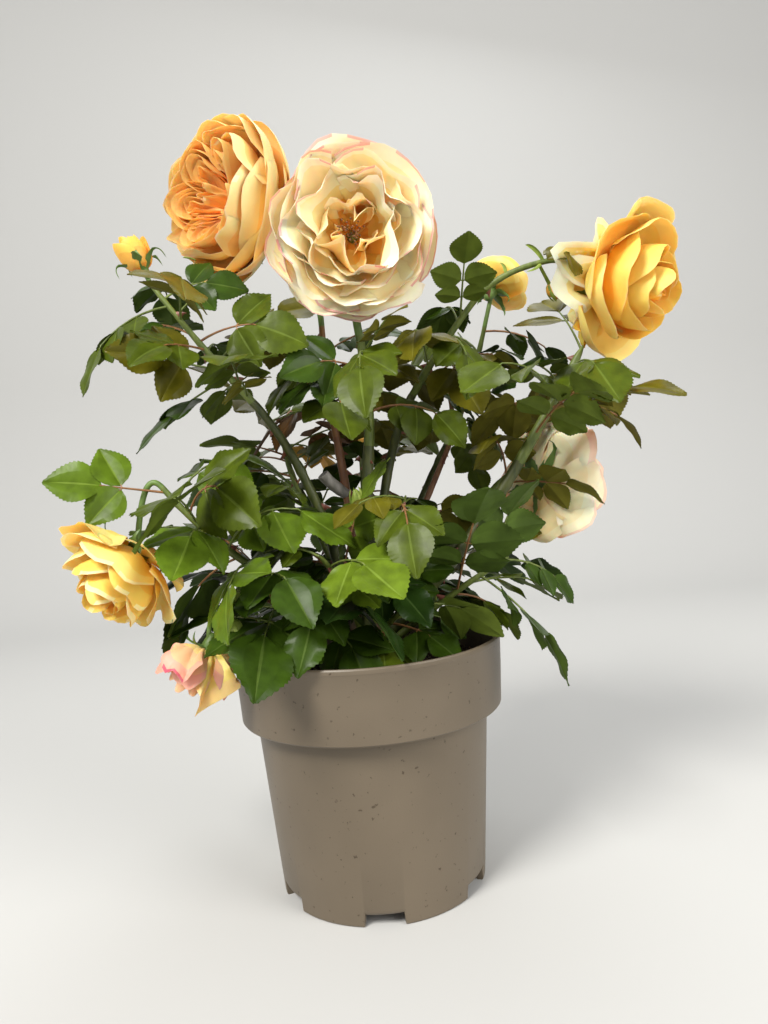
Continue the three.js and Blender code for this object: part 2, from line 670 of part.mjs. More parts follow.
// The compost fills the pot, with its top a little lower at the wall.
function compostSolid() {
  const collarFoot = POT_HEIGHT - COLLAR_HEIGHT;
  const step = collarFoot + WALL + GAP;
  const floor = FLOOR_RISE + WALL + GAP;
  const edge = SOIL_HEIGHT - SOIL_DIP;
  return turned(
    [
      [0, floor],
      [innerRadius(FLOOR_RISE) - GAP, floor],
      [innerRadius(collarFoot - WALL) - GAP, step],
      [innerRadius(collarFoot + WALL) - GAP, step + 0.1],
      [innerRadius(edge) - GAP, edge],
      [0.8 * RIM_RADIUS, SOIL_HEIGHT],
      [0, SOIL_HEIGHT],
    ],
    POT_SIDES,
  );
}

// The rootstock stands on the compost on its flat cut, flared at its foot and knotted above. The
// extra widens it all round.
function rootstockSolid(extra = 0) {
  const rise = ROOTSTOCK_HEIGHT / (ROOTSTOCK_RADII.length - 1);
  const foot = SOIL_HEIGHT + GAP;
  const profile = ROOTSTOCK_RADII.map((radius, i) => [radius + extra, foot + i * rise]);
  const top = foot + ROOTSTOCK_HEIGHT + extra;
  const base = [[0, foot - extra], [profile[0][0], foot - extra]];
  return turned([...base, ...profile.slice(1), [0, top]], ROOTSTOCK_SIDES);
}

// Blooms
function bloomOf(row, stalk) {
  const base = stalk.path[2];
  const axis = bearing(row.faces, Math.cos(rad(row.tilt)), Math.sin(rad(row.tilt)));
  const [side] = across(axis);
  const other = cross(axis, side);
  return { ...row, base, axis, side, other, centre: plus(base, times(axis, 0.55 * row.depth)) };
}

// A point of a bloom by its distance from the axis, its height along it and its angle round it.
function bloomPoint(bloom, out, along, angle) {
  const round = plus(times(bloom.side, Math.cos(angle)), times(bloom.other, Math.sin(angle)));
  return plus(bloom.base, plus(times(bloom.axis, along), times(round, out)));
}

// The petals' crests dip between one petal and the next.
function headSolid(bloom) {
  const rows = [{ out: 0, along: 0 }, ...bloom.head];
  const points = rows.map(({ out, along }) => new THREE.Vector2(out, along));
  const geometry = new THREE.LatheGeometry(points, HEAD_COLUMNS);
  const place = geometry.attributes.position;
  for (let i = 0; i < place.count; i += 1) {
    const { out, along, petals, turn } = rows[i % rows.length];
    const angle = ((Math.floor(i / rows.length) % HEAD_COLUMNS) * 2 * Math.PI) / HEAD_COLUMNS;
    const dip = petals ? SCALLOP * (1 - Math.abs(Math.sin(0.5 * petals * (angle - rad(turn))))) : 0;
    const p = bloomPoint(bloom, out * bloom.radius * (1 - dip), along * bloom.depth * (1 - dip / 2), angle);
    place.setXYZ(i, p.x, p.y, p.z);
  }
  return solidOf(geometry);
}

// A sepal is a thin wedge, widest near its root.
function sepalSolid(root, axis, normal, length) {
  const point = (share) => bladePoint({ base: root, axis, normal, size: length }, share);
  const points = [
    [0, 0, 0],
    [0.35, 0.13, 0],
    [1, 0, 0.1],
    [0.35, -0.13, 0],
    [0.35, 0, 0.06],
  ].map(point);
  return closedFrom(points, [[1, 0, 4], [2, 1, 4], [3, 2, 4], [0, 3, 4], [0, 1, 3], [1, 2, 3]]);
}

function bodyOfRevolution(bloom, profile, sides) {
  const frame = new THREE.Matrix4().makeBasis(bloom.side, bloom.other, bloom.axis).setPosition(bloom.base);
  const points = profile.map(([out, along]) => new THREE.Vector2(out, along));
  return solidOf(new THREE.LatheGeometry(points, sides).rotateX(Math.PI / 2).applyMatrix4(frame));
}

function bloomSolids(bloom) {
  const hip = bodyOfRevolution(
    bloom,
    [
      [0, -1.6 * HIP_RADIUS],
      [0.9 * HIP_RADIUS, -0.8 * HIP_RADIUS],
      [HIP_RADIUS, 0],
      [0, 0.1 * bloom.depth],
    ],
    6,
  );
  const sepals = Array.from({ length: SEPALS }, (_, i) => {
    const angle = (2 * Math.PI * i) / SEPALS + 0.4;
    const root = bloomPoint(bloom, 0.5 * HIP_RADIUS, -0.2 * HIP_RADIUS, angle);
    const tip = bloomPoint(bloom, SEPAL_REACH * bloom.radius, -SEPAL_DROP * bloom.depth, angle);
    const axis = unit(minus(tip, root));
    const normal = unit(minus(bloom.axis, times(axis, bloom.axis.dot(axis))));
    return sepalSolid(root, axis, normal, minus(tip, root).length());
  });
  return [headSolid(bloom), hip, ...sepals];
}

// Assembly
const limbs = new Map();
limbs.set("rootstock", limbAlong(
  [GAP, 20, ROOTSTOCK_HEIGHT].map((rise) => new THREE.Vector3(0, 0, SOIL_HEIGHT + rise)),
  [16, 13],
  2,
));
for (const row of CANES) limbs.set(row.name, limbAlong(rootedPath(row), row.radii, 5));
for (const row of MASSES) {
  const path = row.foot ? rootedPath(row) : onwardPath(limbs.get(row.from), row);
  limbs.set(row.name, limbAlong(path, row.radii, 4));
}
for (const row of BLOOMS) {
  limbs.set(row.name, limbAlong(onwardPath(limbs.get(row.from), row), row.radii, 4));
}
const blooms = BLOOMS.map((row) => bloomOf(row, limbs.get(row.name)));

const MATERIALS = {
  pot: { color: 0x8a7c70, roughness: 0.55 },
  compost: { color: 0x4a3423, roughness: 0.95 },
  rootstock: { color: 0x6b5236, roughness: 0.85 },
  cane: { color: 0x5d6b34, roughness: 0.6 },
  redCane: { color: 0x7a4632, roughness: 0.6 },
  leaf: { color: 0x2f5a24, roughness: 0.45 },
  youngLeaf: { color: 0x5f8b2e, roughness: 0.45 },
  cream: { color: 0xf3d9bb, roughness: 0.7 },
  apricot: { color: 0xf4b26a, roughness: 0.7 },
  yellow: { color: 0xf5c861, roughness: 0.7 },
  blush: { color: 0xf3d6b4, roughness: 0.7 },
  faded: { color: 0xd98f6a, roughness: 0.75 },
};

const plant = new THREE.Group();
plant.name = "potted_rose_bush";

function addNode(name, solid, material) {
  const mesh = new THREE.Mesh(
    geometryOf(solid),
    new THREE.MeshStandardMaterial({ ...MATERIALS[material], metalness: 0, flatShading: true }),
  );
  mesh.name = name;
  plant.add(mesh);
}

// What a rooted limb is cut clear of: the rootstock and the limbs rooted beside it.
const rootedClear = [rootstockSolid(GAP)];

function limbSolid(name, rooted, sides) {
  const limb = limbs.get(name);
  const whole = taper(limb, sides);
  if (!rooted) return whole;
  const cut = whole.subtract(wasm.Manifold.union(rootedClear));
  rootedClear.push(taper(limb, sides, GAP));
  return cut.decompose().reduce((a, b) => (a.volume() > b.volume() ? a : b));
}

addNode("pot", potSolid(), "pot");
addNode("compost", compostSolid(), "compost");
addNode("rootstock", rootstockSolid(), "rootstock");
for (const row of CANES) {
  const colour = row.name === "cane_red_right" ? "redCane" : "cane";
  addNode(row.name, limbSolid(row.name, true, CANE_SIDES), colour);
}
const grown = [];
for (const row of MASSES) {
  const stem = limbSolid(row.name, Boolean(row.foot), STEM_SIDES);
  const leaves = row.leaves ? leavesOf(row, grown) : [];
  grown.push(...leaves);
  const solid = leaves.length ? fuse([stem, ...leaves.map(leafSolid)]) : stem;
  addNode(row.name, solid, row.name === "leaves_low_left" ? "youngLeaf" : "leaf");
}
for (const bloom of blooms) {
  addNode(bloom.name, fuse([limbSolid(bloom.name, false, STEM_SIDES), ...bloomSolids(bloom)]), bloom.tint);
}

export default plant;
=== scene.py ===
# A potted rose bush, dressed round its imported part. Sizes are in millimetres until a piece is
# made, and the origin is the middle of the pot's underside, as in the part.
from math import atan2, cos, exp, hypot, inf, pi, radians, sin, sqrt

import bmesh
import bpy
import numpy as np
from mathutils import Euler, Matrix, Vector, noise


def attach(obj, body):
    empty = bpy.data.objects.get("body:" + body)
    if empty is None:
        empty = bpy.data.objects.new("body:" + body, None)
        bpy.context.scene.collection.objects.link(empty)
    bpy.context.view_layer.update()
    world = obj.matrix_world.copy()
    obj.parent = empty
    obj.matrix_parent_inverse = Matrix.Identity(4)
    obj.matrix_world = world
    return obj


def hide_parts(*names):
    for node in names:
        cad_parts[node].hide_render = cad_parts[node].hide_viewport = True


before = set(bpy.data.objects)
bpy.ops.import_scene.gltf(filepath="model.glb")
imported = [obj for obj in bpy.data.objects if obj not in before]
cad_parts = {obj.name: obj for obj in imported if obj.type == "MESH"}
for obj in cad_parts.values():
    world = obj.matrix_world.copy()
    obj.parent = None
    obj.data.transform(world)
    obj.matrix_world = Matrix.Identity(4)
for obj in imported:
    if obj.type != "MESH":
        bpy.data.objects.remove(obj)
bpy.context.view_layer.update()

MM = 0.001
UP = (0.0, 0.0, 1.0)
TURN = 2 * pi

# Pot
POT_HEIGHT = 190
RIM_RADIUS = 105
COLLAR_RADIUS = 102
COLLAR_HEIGHT = 52
COLLAR_FOOT = POT_HEIGHT - COLLAR_HEIGHT
NECK_RADIUS = 91
BASE_RADIUS = 80
WALL = 2.4
FLOOR_RISE = 10
HUB_RADIUS = 50
NOTCHES = 6
NOTCH_WIDTH = 28
NOTCH_HEIGHT = 9
SOIL_HEIGHT = 165
SOIL_DIP = 3
ROOTSTOCK_HEIGHT = 42
ROOTSTOCK_RADII = [17, 15, 13.5, 14.5, 13, 9]
FOOT_RADIUS = 7.5
GAP = 0.3

# The rule that the limbs and leaves grow by, with angles in degrees, lengths in leaflets and
# places in shares of the way along
GOLDEN_ANGLE = 137.5
LEAN = 62
ROOM = 2.4
TRIES = 5
FIRST_LEAF = 0.4
LAST_LEAF = 0.97
LIMB_STEPS = 4
CANE_STEPS = 5
RACHIS_RADIUS = 1
RACHIS_LENGTHS = {1: 1.2, 2: 1.8}
RACHIS_STEPS = [0, 0.42, 0.72, 1]
END_NODE = 3
END_SHARE = 1.08
PAIRS = [
    {"node": 2, "share": 0.95, "swing": 58},
    {"node": 1, "share": 0.76, "swing": 66},
]

# How far leaves keep from the pot, the soil, the blooms, the limbs and each other
ABOVE_RIM = 2
INSIDE_RIM = 8
OUTSIDE_RIM = 2.5
ABOVE_SOIL = 3
LOWEST_LEAF = 40
BLOOM_CLEARANCE = 3
LIMB_CLEARANCE = 1.6
RACHIS_CLEARANCE = 2.4
BLADE_CLEARANCE = 0.9
FAR_APART = 2

# A cane: its name, its foot's compass and height above the soil, the compass, spread and rise of
# its tip from there, its bow and its radii.
CANES = [
    ("cane_centre", (-80, 34), -28, 15, 141, 0.2, (5.2, 4.2)),
    ("cane_upper_left", (185, 34), -163, 75, 180, 0.38, (4.4, 3)),
    ("cane_arching", (10, 36), 19, 54, 178, 0.45, (4.2, 3.2)),
    ("cane_right", (-20, 20), -4, 129, 134, -0.15, (5.6, 4.4)),
    ("cane_right_rear", (22, 17), 11, 114, 116, 0, (4.6, 3.2)),
    ("cane_red_right", (45, 30), 28, 89, 140, 0, (3.2, 2.2)),
    ("cane_inner_left", (105, 36), 127, 21, 149, 0.3, (4, 3)),
    ("cane_low_left", (-160, 20), -158, 82, 67, 0.1, (4.2, 3)),
    ("cane_back_left", (140, 26), 127, 86, 119, 0.2, (4.2, 3)),
    ("cane_back_right", (62, 24), 41, 111, 156, 0.1, (4.4, 3)),
    ("cane_back", (95, 18), 88, 92, 102, 0, (4, 3)),
]

# A mass: its name, what it grows on or its foot and bow, the compass, spread and rise of its
# stem, the stem's radii, its most leaves, its leaflets' length and its seed.
MASSES = [
    ("leaves_centre", "cane_centre", -98, 7, 85, (4.2, 3.2), 7, 36, 58),
    ("leaves_upper_left", "cane_upper_left", -175, 66, 90, (3, 1.8), 9, 40, 227),
    ("leaves_arching", "cane_arching", -3, 53, 69, (3.2, 2.6), 7, 38, 226),
    ("cane_arching_end", "leaves_arching", -11, 60, 26, (2.6, 2.2), 0, 0, 0),
    ("leaves_arching_end", "cane_arching_end", -11, 15, -1, (2.2, 2.1), 3, 22, 104),
    ("leaves_right", "cane_right", -2, 55, 85, (4.4, 2.6), 9, 44, 99),
    ("leaves_right_rear", "cane_right_rear", 11, 20, 14, (3.2, 2.2), 4, 36, 50),
    ("leaves_red_right", "cane_red_right", 180, 2, 67, (2.2, 1.4), 6, 32, 107),
    ("leaves_inner_left", "cane_inner_left", 169, 5, 90, (3, 2.4), 9, 38, 108),
    ("leaves_low_left", "cane_low_left", -171, 65, 68, (3, 2.2), 10, 46, 148),
    ("leaves_lowest_left", ((-140, 14), 0.3), -152, 104, 61, (3.2, 2), 8, 44, 218),
    ("leaves_front", ((-110, 24), 0.3), -114, 68, 74, (2.8, 1.8), 8, 38, 180),
    ("leaves_front_left", ((-125, 12), 0.3), -130, 91, 38, (2.8, 2), 8, 40, 116),
    ("leaves_front_right", ((-60, 12), 0.3), -61, 71, 45, (2.8, 1.8), 8, 34, 64),
    ("leaves_low_right", ((-25, 10), 0.1), -15, 116, 73, (3, 2), 8, 42, 215),
    ("leaves_inner_right", ((-50, 30), 0.2), -40, 50, 105, (2.8, 1.8), 7, 36, 88),
    ("leaves_mid_left", ((155, 32), 0.1), 158, 58, 128, (3, 1.8), 8, 38, 81),
    ("leaves_back_left", "cane_back_left", 125, 24, 62, (3, 1.8), 7, 40, 206),
    ("leaves_back_right", "cane_back_right", 5, 38, 95, (3, 2), 7, 38, 178),
    ("leaves_back", "cane_back", 90, 28, 60, (3, 1.8), 7, 40, 63),
    ("leaves_low_back_left", ((160, 12), 0.2), 144, 105, 58, (3, 1.8), 8, 42, 66),
    ("leaves_low_back_right", ((60, 10), 0.2), 45, 110, 65, (3, 1.8), 8, 42, 78),
]

# A bloom: its name, the mass that carries it, the compass, spread and rise of its stalk, the
# stalk's radii, where it faces and how far up, its depth and radius, its form and its tint.
BLOOMS = [
    ("bloom_front", "leaves_centre", -85, 12, 70, (3.2, 2.8), -90, -8, 49, 60, "open", "cream"),
    ("bloom_upper_left", "leaves_inner_left", 159, 53, 103, (2.4, 2.4), -133, 2, 57, 64, "full", "apricot"),
    ("bloom_right", "leaves_arching_end", -9, 30, -19, (2.1, 2.4), -46, -21, 60, 53, "high", "yellow"),
    ("bloom_rear_right", "leaves_right_rear", 18, 19, -7, (2.2, 2.2), 38, -11, 62, 44, "cup", "blush"),
    ("bloom_low_left", "leaves_low_left", -173, 22, -49, (2.2, 2.2), -131, -42, 54, 42, "cup", "yellow"),
    ("bloom_faded", "leaves_lowest_left", -149, 23, -37, (2, 1.8), -160, -64, 34, 25, "wilted", "faded"),
    ("bloom_back", "leaves_back_right", -18, 9, 30, (2, 1.8), 35, 45, 34, 27, "high", "yellow"),
    ("bud_left", "leaves_upper_left", -164, 5, 12, (1.8, 1.8), -170, 66, 28, 13, "bud", "yellow"),
]


def plus(a, b):
    return (a[0] + b[0], a[1] + b[1], a[2] + b[2])


def minus(a, b):
    return (a[0] - b[0], a[1] - b[1], a[2] - b[2])


def times(a, k):
    return (a[0] * k, a[1] * k, a[2] * k)


def dot(a, b):
    return a[0] * b[0] + a[1] * b[1] + a[2] * b[2]


def cross(a, b):
    return (a[1] * b[2] - a[2] * b[1], a[2] * b[0] - a[0] * b[2], a[0] * b[1] - a[1] * b[0])


def length(a):
    return sqrt(dot(a, a))


def unit(a):
    return times(a, 1 / length(a))


def mix(a, b, t):
    return plus(times(a, 1 - t), times(b, t))


def between(low, high, share):
    return low + (high - low) * share


def onward(point, heading, far):
    return plus(point, times(heading, far))


def spoke(side, other, angle):
    """The direction at an angle from one direction towards another that is square to it."""
    return plus(times(side, cos(angle)), times(other, sin(angle)))


def turned(v, axis, angle):
    return onward(spoke(v, cross(axis, v), angle), axis, dot(axis, v) * (1 - cos(angle)))


def square_to(v, axis):
    """The part of v that is square to an axis, as a unit vector."""
    return unit(onward(v, axis, -dot(v, axis)))


def level(v):
    """The compass heading of a direction, as a unit vector."""
    return unit((v[0], v[1], 1e-6))


def polar(out, angle, along):
    return (out * cos(angle), out * sin(angle), along)


def bearing(compass, spread, rise):
    return polar(spread, radians(compass), rise)


def placed_on(origin, axes, shares):
    """The point that lies these shares along three axes from an origin."""
    flat = plus(times(axes[0], shares[0]), times(axes[1], shares[1]))
    return plus(origin, plus(flat, times(axes[2], shares[2])))


def circle(count):
    """Angles spread evenly round a circle."""
    return [TURN * i / count for i in range(count)]


def random_from(seed):
    """A seeded stream of numbers, each between low and high."""
    state = [seed * 7919 % 2147483647]

    def draw(low=0.0, high=1.0):
        state[0] = state[0] * 48271 % 2147483647
        return low + (high - low) * state[0] / 2147483647

    for _ in range(3):
        draw()
    return draw


def across(heading):
    """Two directions across a heading."""
    reference = UP if abs(heading[2]) < 0.9 else (0.0, 1.0, 0.0)
    side = unit(cross(heading, reference))
    return side, cross(side, heading)


def point_on(path, t):
    return mix(mix(path[0], path[1], t), mix(path[1], path[2], t), t)


def heading_on(path, t):
    return unit(minus(mix(path[1], path[2], t), mix(path[0], path[1], t)))


def spans(points):
    return list(zip(points, points[1:]))


def midway(points):
    return [mix(p, q, 0.5) for p, q in spans(points)]


class Limb:
    """A tapering stem along a quadratic path."""

    def __init__(self, path, ends, steps):
        self.path = path
        self.ends = ends
        self.points = [point_on(path, i / steps) for i in range(steps + 1)]
        self.spans = [(p, q, self.radius(i / steps)) for i, (p, q) in enumerate(spans(self.points))]

    def radius(self, share):
        return between(*self.ends, share)

    def reach(self):
        return length(minus(self.path[2], self.path[0]))

    def sunk(self, depth):
        """The path, from this deep inside what the limb grows from."""
        return (onward(self.path[0], heading_on(self.path, 0), -depth), *self.path[1:])


def bowed_path(start, end, bow):
    chord = minus(end, start)
    outwards = 0.5 - bow / 2
    pull = (chord[0] * outwards, chord[1] * outwards, chord[2] * (0.5 + bow / 2))
    return (start, plus(start, pull), end)


def onward_path(parent, compass, spread, rise):
    tip = parent.path[2]
    heading = heading_on(parent.path, 1)
    start = onward(tip, heading, GAP)
    end = plus(tip, bearing(compass, spread, rise))
    return (start, onward(start, heading, 0.45 * length(minus(end, start))), end)


def rooted_path(foot, compass, spread, rise, bow):
    start = bearing(foot[0], FOOT_RADIUS, SOIL_HEIGHT + foot[1])
    end = plus((0, 0, start[2]), bearing(compass, spread, rise))
    return bowed_path(start, end, bow)


class Bloom:
    """A flower at the tip of its stalk, with axes of its own, of which the last is where it faces."""

    def __init__(self, stalk, faces, tilt, depth, radius, form, tint):
        self.base = stalk.path[2]
        self.axis = bearing(faces, cos(radians(tilt)), sin(radians(tilt)))
        side = across(self.axis)[0]
        self.axes = (side, cross(self.axis, side), self.axis)
        self.depth, self.radius, self.form, self.tint = depth, radius, form, tint
        self.centre = onward(self.base, self.axis, 0.55 * depth)

    def holds(self, p):
        """Whether a point lies in the egg-shaped space round the flower."""
        v = minus(p, self.centre)
        h = dot(v, self.axis)
        square = max(0.0, dot(v, v) - h * h)
        wide = self.radius + BLOOM_CLEARANCE
        high = 0.62 * self.depth + BLOOM_CLEARANCE
        return square / wide**2 + (h / high) ** 2 < 1

    def point(self, out, angle, along):
        return placed_on(self.base, self.axes, polar(out, angle, along))


def grow_limbs():
    foot = [(0, 0, SOIL_HEIGHT + rise) for rise in (GAP, 20, ROOTSTOCK_HEIGHT)]
    limbs = {"rootstock": Limb(foot, (16, 13), 2)}
    for name, foot, compass, spread, rise, bow, radii in CANES:
        limbs[name] = Limb(rooted_path(foot, compass, spread, rise, bow), radii, CANE_STEPS)
    for name, start, compass, spread, rise, radii, *_ in MASSES:
        if isinstance(start, str):
            path = onward_path(limbs[start], compass, spread, rise)
        else:
            path = rooted_path(start[0], compass, spread, rise, start[1])
        limbs[name] = Limb(path, radii, LIMB_STEPS)
    blooms = {}
    for name, start, compass, spread, rise, radii, *looks in BLOOMS:
        limbs[name] = Limb(onward_path(limbs[start], compass, spread, rise), radii, LIMB_STEPS)
        blooms[name] = Bloom(limbs[name], *looks)
    return limbs, blooms


LIMBS, FLOWERS = grow_limbs()

# A leaflet's outline, and the wider kite that its clearance is tested by
BLADE_OUTLINE = [
    (0, 0, 0), (0.34, 0.31, 0.04), (0.7, 0.23, 0.02),
    (1, 0, -0.08), (0.7, -0.23, 0.02), (0.34, -0.31, 0.04),
]
BLADE_KITE = [(-0.02, 0, 0), (0.47, 0.42, 0.03), (1.04, 0, -0.07), (0.47, -0.42, 0.03)]


class Blade:
    """A leaflet, with what its clearance is tested by."""

    def __init__(self, base, axis, normal, size):
        self.base, self.axis, self.normal, self.size = base, axis, normal, size
        self.side = cross(normal, axis)
        self.outline = [self.point(share) for share in BLADE_OUTLINE]
        self.centre = onward(base, axis, 0.48 * size)
        self.reach = 0.58 * size
        kite = [self.point(share) for share in BLADE_KITE]
        self.shells = []
        for face in (BLADE_CLEARANCE, -BLADE_CLEARANCE):
            e, f, g, h = [onward(p, normal, face) for p in kite]
            self.shells += [(e, f, g), (e, g, h)]
        a, b, c, d = kite
        self.edges = [(a, b), (b, c), (c, d), (d, a), (a, c), (b, d)]

    def point(self, share):
        return placed_on(self.base, (self.axis, self.side, self.normal), times(share, self.size))


class Leaf:
    """A compound leaf: a rachis, a leaflet at its end, and one or two pairs beside it."""

    def __init__(self, root, start, face, size, pairs, droop, draw):
        reach = size * RACHIS_LENGTHS[pairs]
        via = onward(root, start, reach * 0.5)
        tip = onward(via, unit(plus(start, (0, 0, -droop))), reach * 0.5)
        self.rachis = (root, via, tip)
        roll = draw(-0.7, 0.7)
        self.points = [point_on(self.rachis, t) for t in RACHIS_STEPS]
        self.frames = []
        for t in RACHIS_STEPS:
            along = heading_on(self.rachis, t)
            upper = square_to(onward(face, level(start), -0.6 * along[2]), along)
            self.frames.append((along, turned(upper, along, roll)))
        self.blades = []
        self.add_blade(END_NODE, self.frames[END_NODE][0], size * END_SHARE, droop, draw)
        for pair in PAIRS[:pairs]:
            along, upper = self.frames[pair["node"]]
            for hand in (-1, 1):
                towards = turned(along, upper, radians(pair["swing"] + draw(-8, 8)) * hand)
                share = pair["share"] * draw(0.92, 1.04)
                self.add_blade(pair["node"], towards, size * share, droop, draw)

    def add_blade(self, node, towards, size, droop, draw):
        """A leaflet that hangs from a node of the rachis, and is tilted a little."""
        axis = unit(plus(towards, (0, 0, -0.55 * droop)))
        normal = turned(square_to(self.frames[node][1], axis), axis, draw(-0.3, 0.3))
        self.blades.append(Blade(self.points[node], axis, normal, size))


def clamp(t):
    return min(1.0, max(0.0, t))


def segment_gap(p1, q1, p2, q2):
    """The least distance between two straight lines that end."""
    d1, d2, r = minus(q1, p1), minus(q2, p2), minus(p1, p2)
    a, e, f, c, b = dot(d1, d1), dot(d2, d2), dot(d2, r), dot(d1, r), dot(d1, d2)
    square = a * e - b * b
    s = clamp((b * f - c * e) / square) if square > 1e-9 else 0.0
    t = (b * s + f) / e
    if t < 0:
        t = 0.0
        s = clamp(-c / a)
    elif t > 1:
        t = 1.0
        s = clamp((b - c) / a)
    return length(minus(onward(p1, d1, s), onward(p2, d2, t)))


def point_gap(p, q, x):
    """The least distance of a point from a straight line that ends."""
    d = minus(q, p)
    return length(minus(x, onward(p, d, clamp(dot(minus(x, p), d) / dot(d, d)))))


def pierces(p, q, triangle):
    """Whether the line from p to q goes through a triangle."""
    a, b, c = triangle
    d, e1, e2 = minus(q, p), minus(b, a), minus(c, a)
    h = cross(d, e2)
    det = dot(e1, h)
    if abs(det) < 1e-9:
        return False
    s = minus(p, a)
    u = dot(s, h) / det
    if u < 0 or u > 1:
        return False
    k = cross(s, e1)
    v = dot(d, k) / det
    if v < 0 or u + v > 1:
        return False
    return 0 <= dot(e2, k) / det <= 1


def clear_of_pot(p):
    """Whether a point lies over the pot, over its soil or beside it."""
    r = hypot(p[0], p[1])
    if p[2] > POT_HEIGHT + ABOVE_RIM:
        return True
    if r < RIM_RADIUS - INSIDE_RIM and p[2] > SOIL_HEIGHT + ABOVE_SOIL:
        return True
    return r > RIM_RADIUS + OUTSIDE_RIM and p[2] > LOWEST_LEAF


def blades_touch(one, two):
    if length(minus(one.centre, two.centre)) > one.reach + two.reach + FAR_APART:
        return False
    if any(pierces(p, q, shell) for p, q in one.edges for shell in two.shells):
        return True
    return any(pierces(p, q, shell) for p, q in two.edges for shell in one.shells)


def blade_hits(blade, p, q, radius):
    """Whether a leaflet touches a round stem from p to q."""
    near = blade.reach + radius + length(minus(p, q)) / 2 + FAR_APART
    if length(minus(blade.centre, mix(p, q, 0.5))) > near:
        return False
    if any(pierces(p, q, shell) for shell in blade.shells[:2]):
        return True
    return any(segment_gap(a, b, p, q) < radius + BLADE_CLEARANCE for a, b in blade.edges)


def point_fits(p, stem, room):
    if not clear_of_pot(p) or all(point_gap(a, b, p) >= room for a, b, _ in stem.spans):
        return False
    return not any(flower.holds(p) for flower in FLOWERS.values())


def in_room(line, points, stem, room):
    """Whether points fit beside a stem, and a line through them is clear of the pot."""
    return all(clear_of_pot(p) for p in midway(line)) and all(point_fits(p, stem, room) for p in points)


def rachis_fits(leaf, stem, room, others):
    if not in_room(leaf.points, leaf.points[1:], stem, room):
        return False
    for limb in LIMBS.values():
        parts = spans(leaf.points[1:] if limb is stem else leaf.points)
        for p, q, radius in limb.spans:
            if any(segment_gap(a, b, p, q) < radius + LIMB_CLEARANCE for a, b in parts):
                return False
    for other in others:
        for a, b in spans(leaf.points):
            if any(segment_gap(a, b, p, q) < RACHIS_CLEARANCE for p, q in spans(other.points)):
                return False
            if any(blade_hits(blade, a, b, RACHIS_RADIUS) for blade in other.blades):
                return False
    return True


def blade_fits(blade, stem, room, others):
    rim = blade.outline
    if not in_room([*rim, rim[0]], [*rim, blade.centre], stem, room):
        return False
    if any(blade_hits(blade, *span) for limb in LIMBS.values() for span in limb.spans):
        return False
    for other in others:
        if any(blades_touch(blade, one) for one in other.blades):
            return False
        if any(blade_hits(blade, p, q, RACHIS_RADIUS) for p, q in spans(other.points)):
            return False
    return True


def fitted(leaf, stem, room, others):
    """The leaf with those of its leaflets that fit, or None where too little of it does."""
    end, *sides = leaf.blades
    if not rachis_fits(leaf, stem, room, others) or not blade_fits(end, stem, room, others):
        return None
    leaf.blades = [end, *(blade for blade in sides if blade_fits(blade, stem, room, others))]
    return leaf if len(leaf.blades) > 2 else None


def leaf_on(stem, share, compass, leaflet, draw):
    """A leaf that grows from its stem at about this compass round it, with its looks drawn."""
    turn = radians(compass + draw(-30, 30))
    spread = radians(LEAN + draw(-18, 18))
    size = leaflet * draw(0.82, 1.1)
    pairs = 2 if draw() > 0.25 else 1
    droop = draw(0.1, 1)
    heading = heading_on(stem.path, share)
    start = unit(spoke(heading, spoke(*across(heading), turn), spread))
    face = onward(times(UP, 0.75), level(start), draw(0.1, 0.75))
    return Leaf(point_on(stem.path, share), start, face, size, pairs, droop, draw)


def grow_leaves(name, first, count, leaflet, seed, others):
    """The leaves of one stem, which turn round it by the golden angle."""
    stem = LIMBS[name]
    phase = random_from(seed)(0, 360)
    kept = []
    for k in range(count):
        share = between(first, LAST_LEAF, k / (count - 1))
        for attempt in range(TRIES):
            draw = random_from(seed * 97 + k * TRIES + attempt + 1)
            whole = leaf_on(stem, share, phase + k * GOLDEN_ANGLE, leaflet, draw)
            leaf = fitted(whole, stem, ROOM * leaflet, [*others, *kept])
            if leaf:
                kept.append(leaf)
                break
    return kept


# Finer leaves that fill in between the part's own
FILL_SHARE = 1.1
FILL_LEAFLET = 0.74
FILL_SEED = 5000
FILL_START = 0.05

# Leaves set one by one where the bush holds them out: the mass, how far along its stem, the way that
# the leaf leaves it, the way that it faces, its leaflets' length and its droop.
SET_LEAVES = [
    ("leaves_low_left", 0.95, (-1, -0.3, 0.2), (0.1, -0.9, 0.5), 36, 0),
    ("leaves_low_left", 0.72, (0.4, -0.4, 1), (0.1, -1, 0.35), 42, 0.9),
    ("leaves_low_left", 0.5, (-0.1, -1, 0.6), (0.1, -1, 0.35), 38, 0.8),
    ("leaves_upper_left", 0.3, (-1, -0.7, 0.2), (0, -1, 0.4), 36, 0),
    ("leaves_upper_left", 0.55, (0.8, -0.2, 0.4), (0, -1, 0.4), 38, 0.5),
    ("leaves_upper_left", 0.9, (0.3, 0, 0.2), (0, -1, 0.4), 28, 0.5),
    ("leaves_right", 0.8, (0.1, -0.8, 0.3), (0, -1, 0.4), 40, 0.7),
    ("leaves_centre", 0.7, (-0.8, -0.6, 0.4), (0, -1, 0.4), 32, 0.4),
    ("leaves_arching", 0.5, (0.3, -0.7, -0.4), (0, -1, 0.4), 34, 0.4),
]


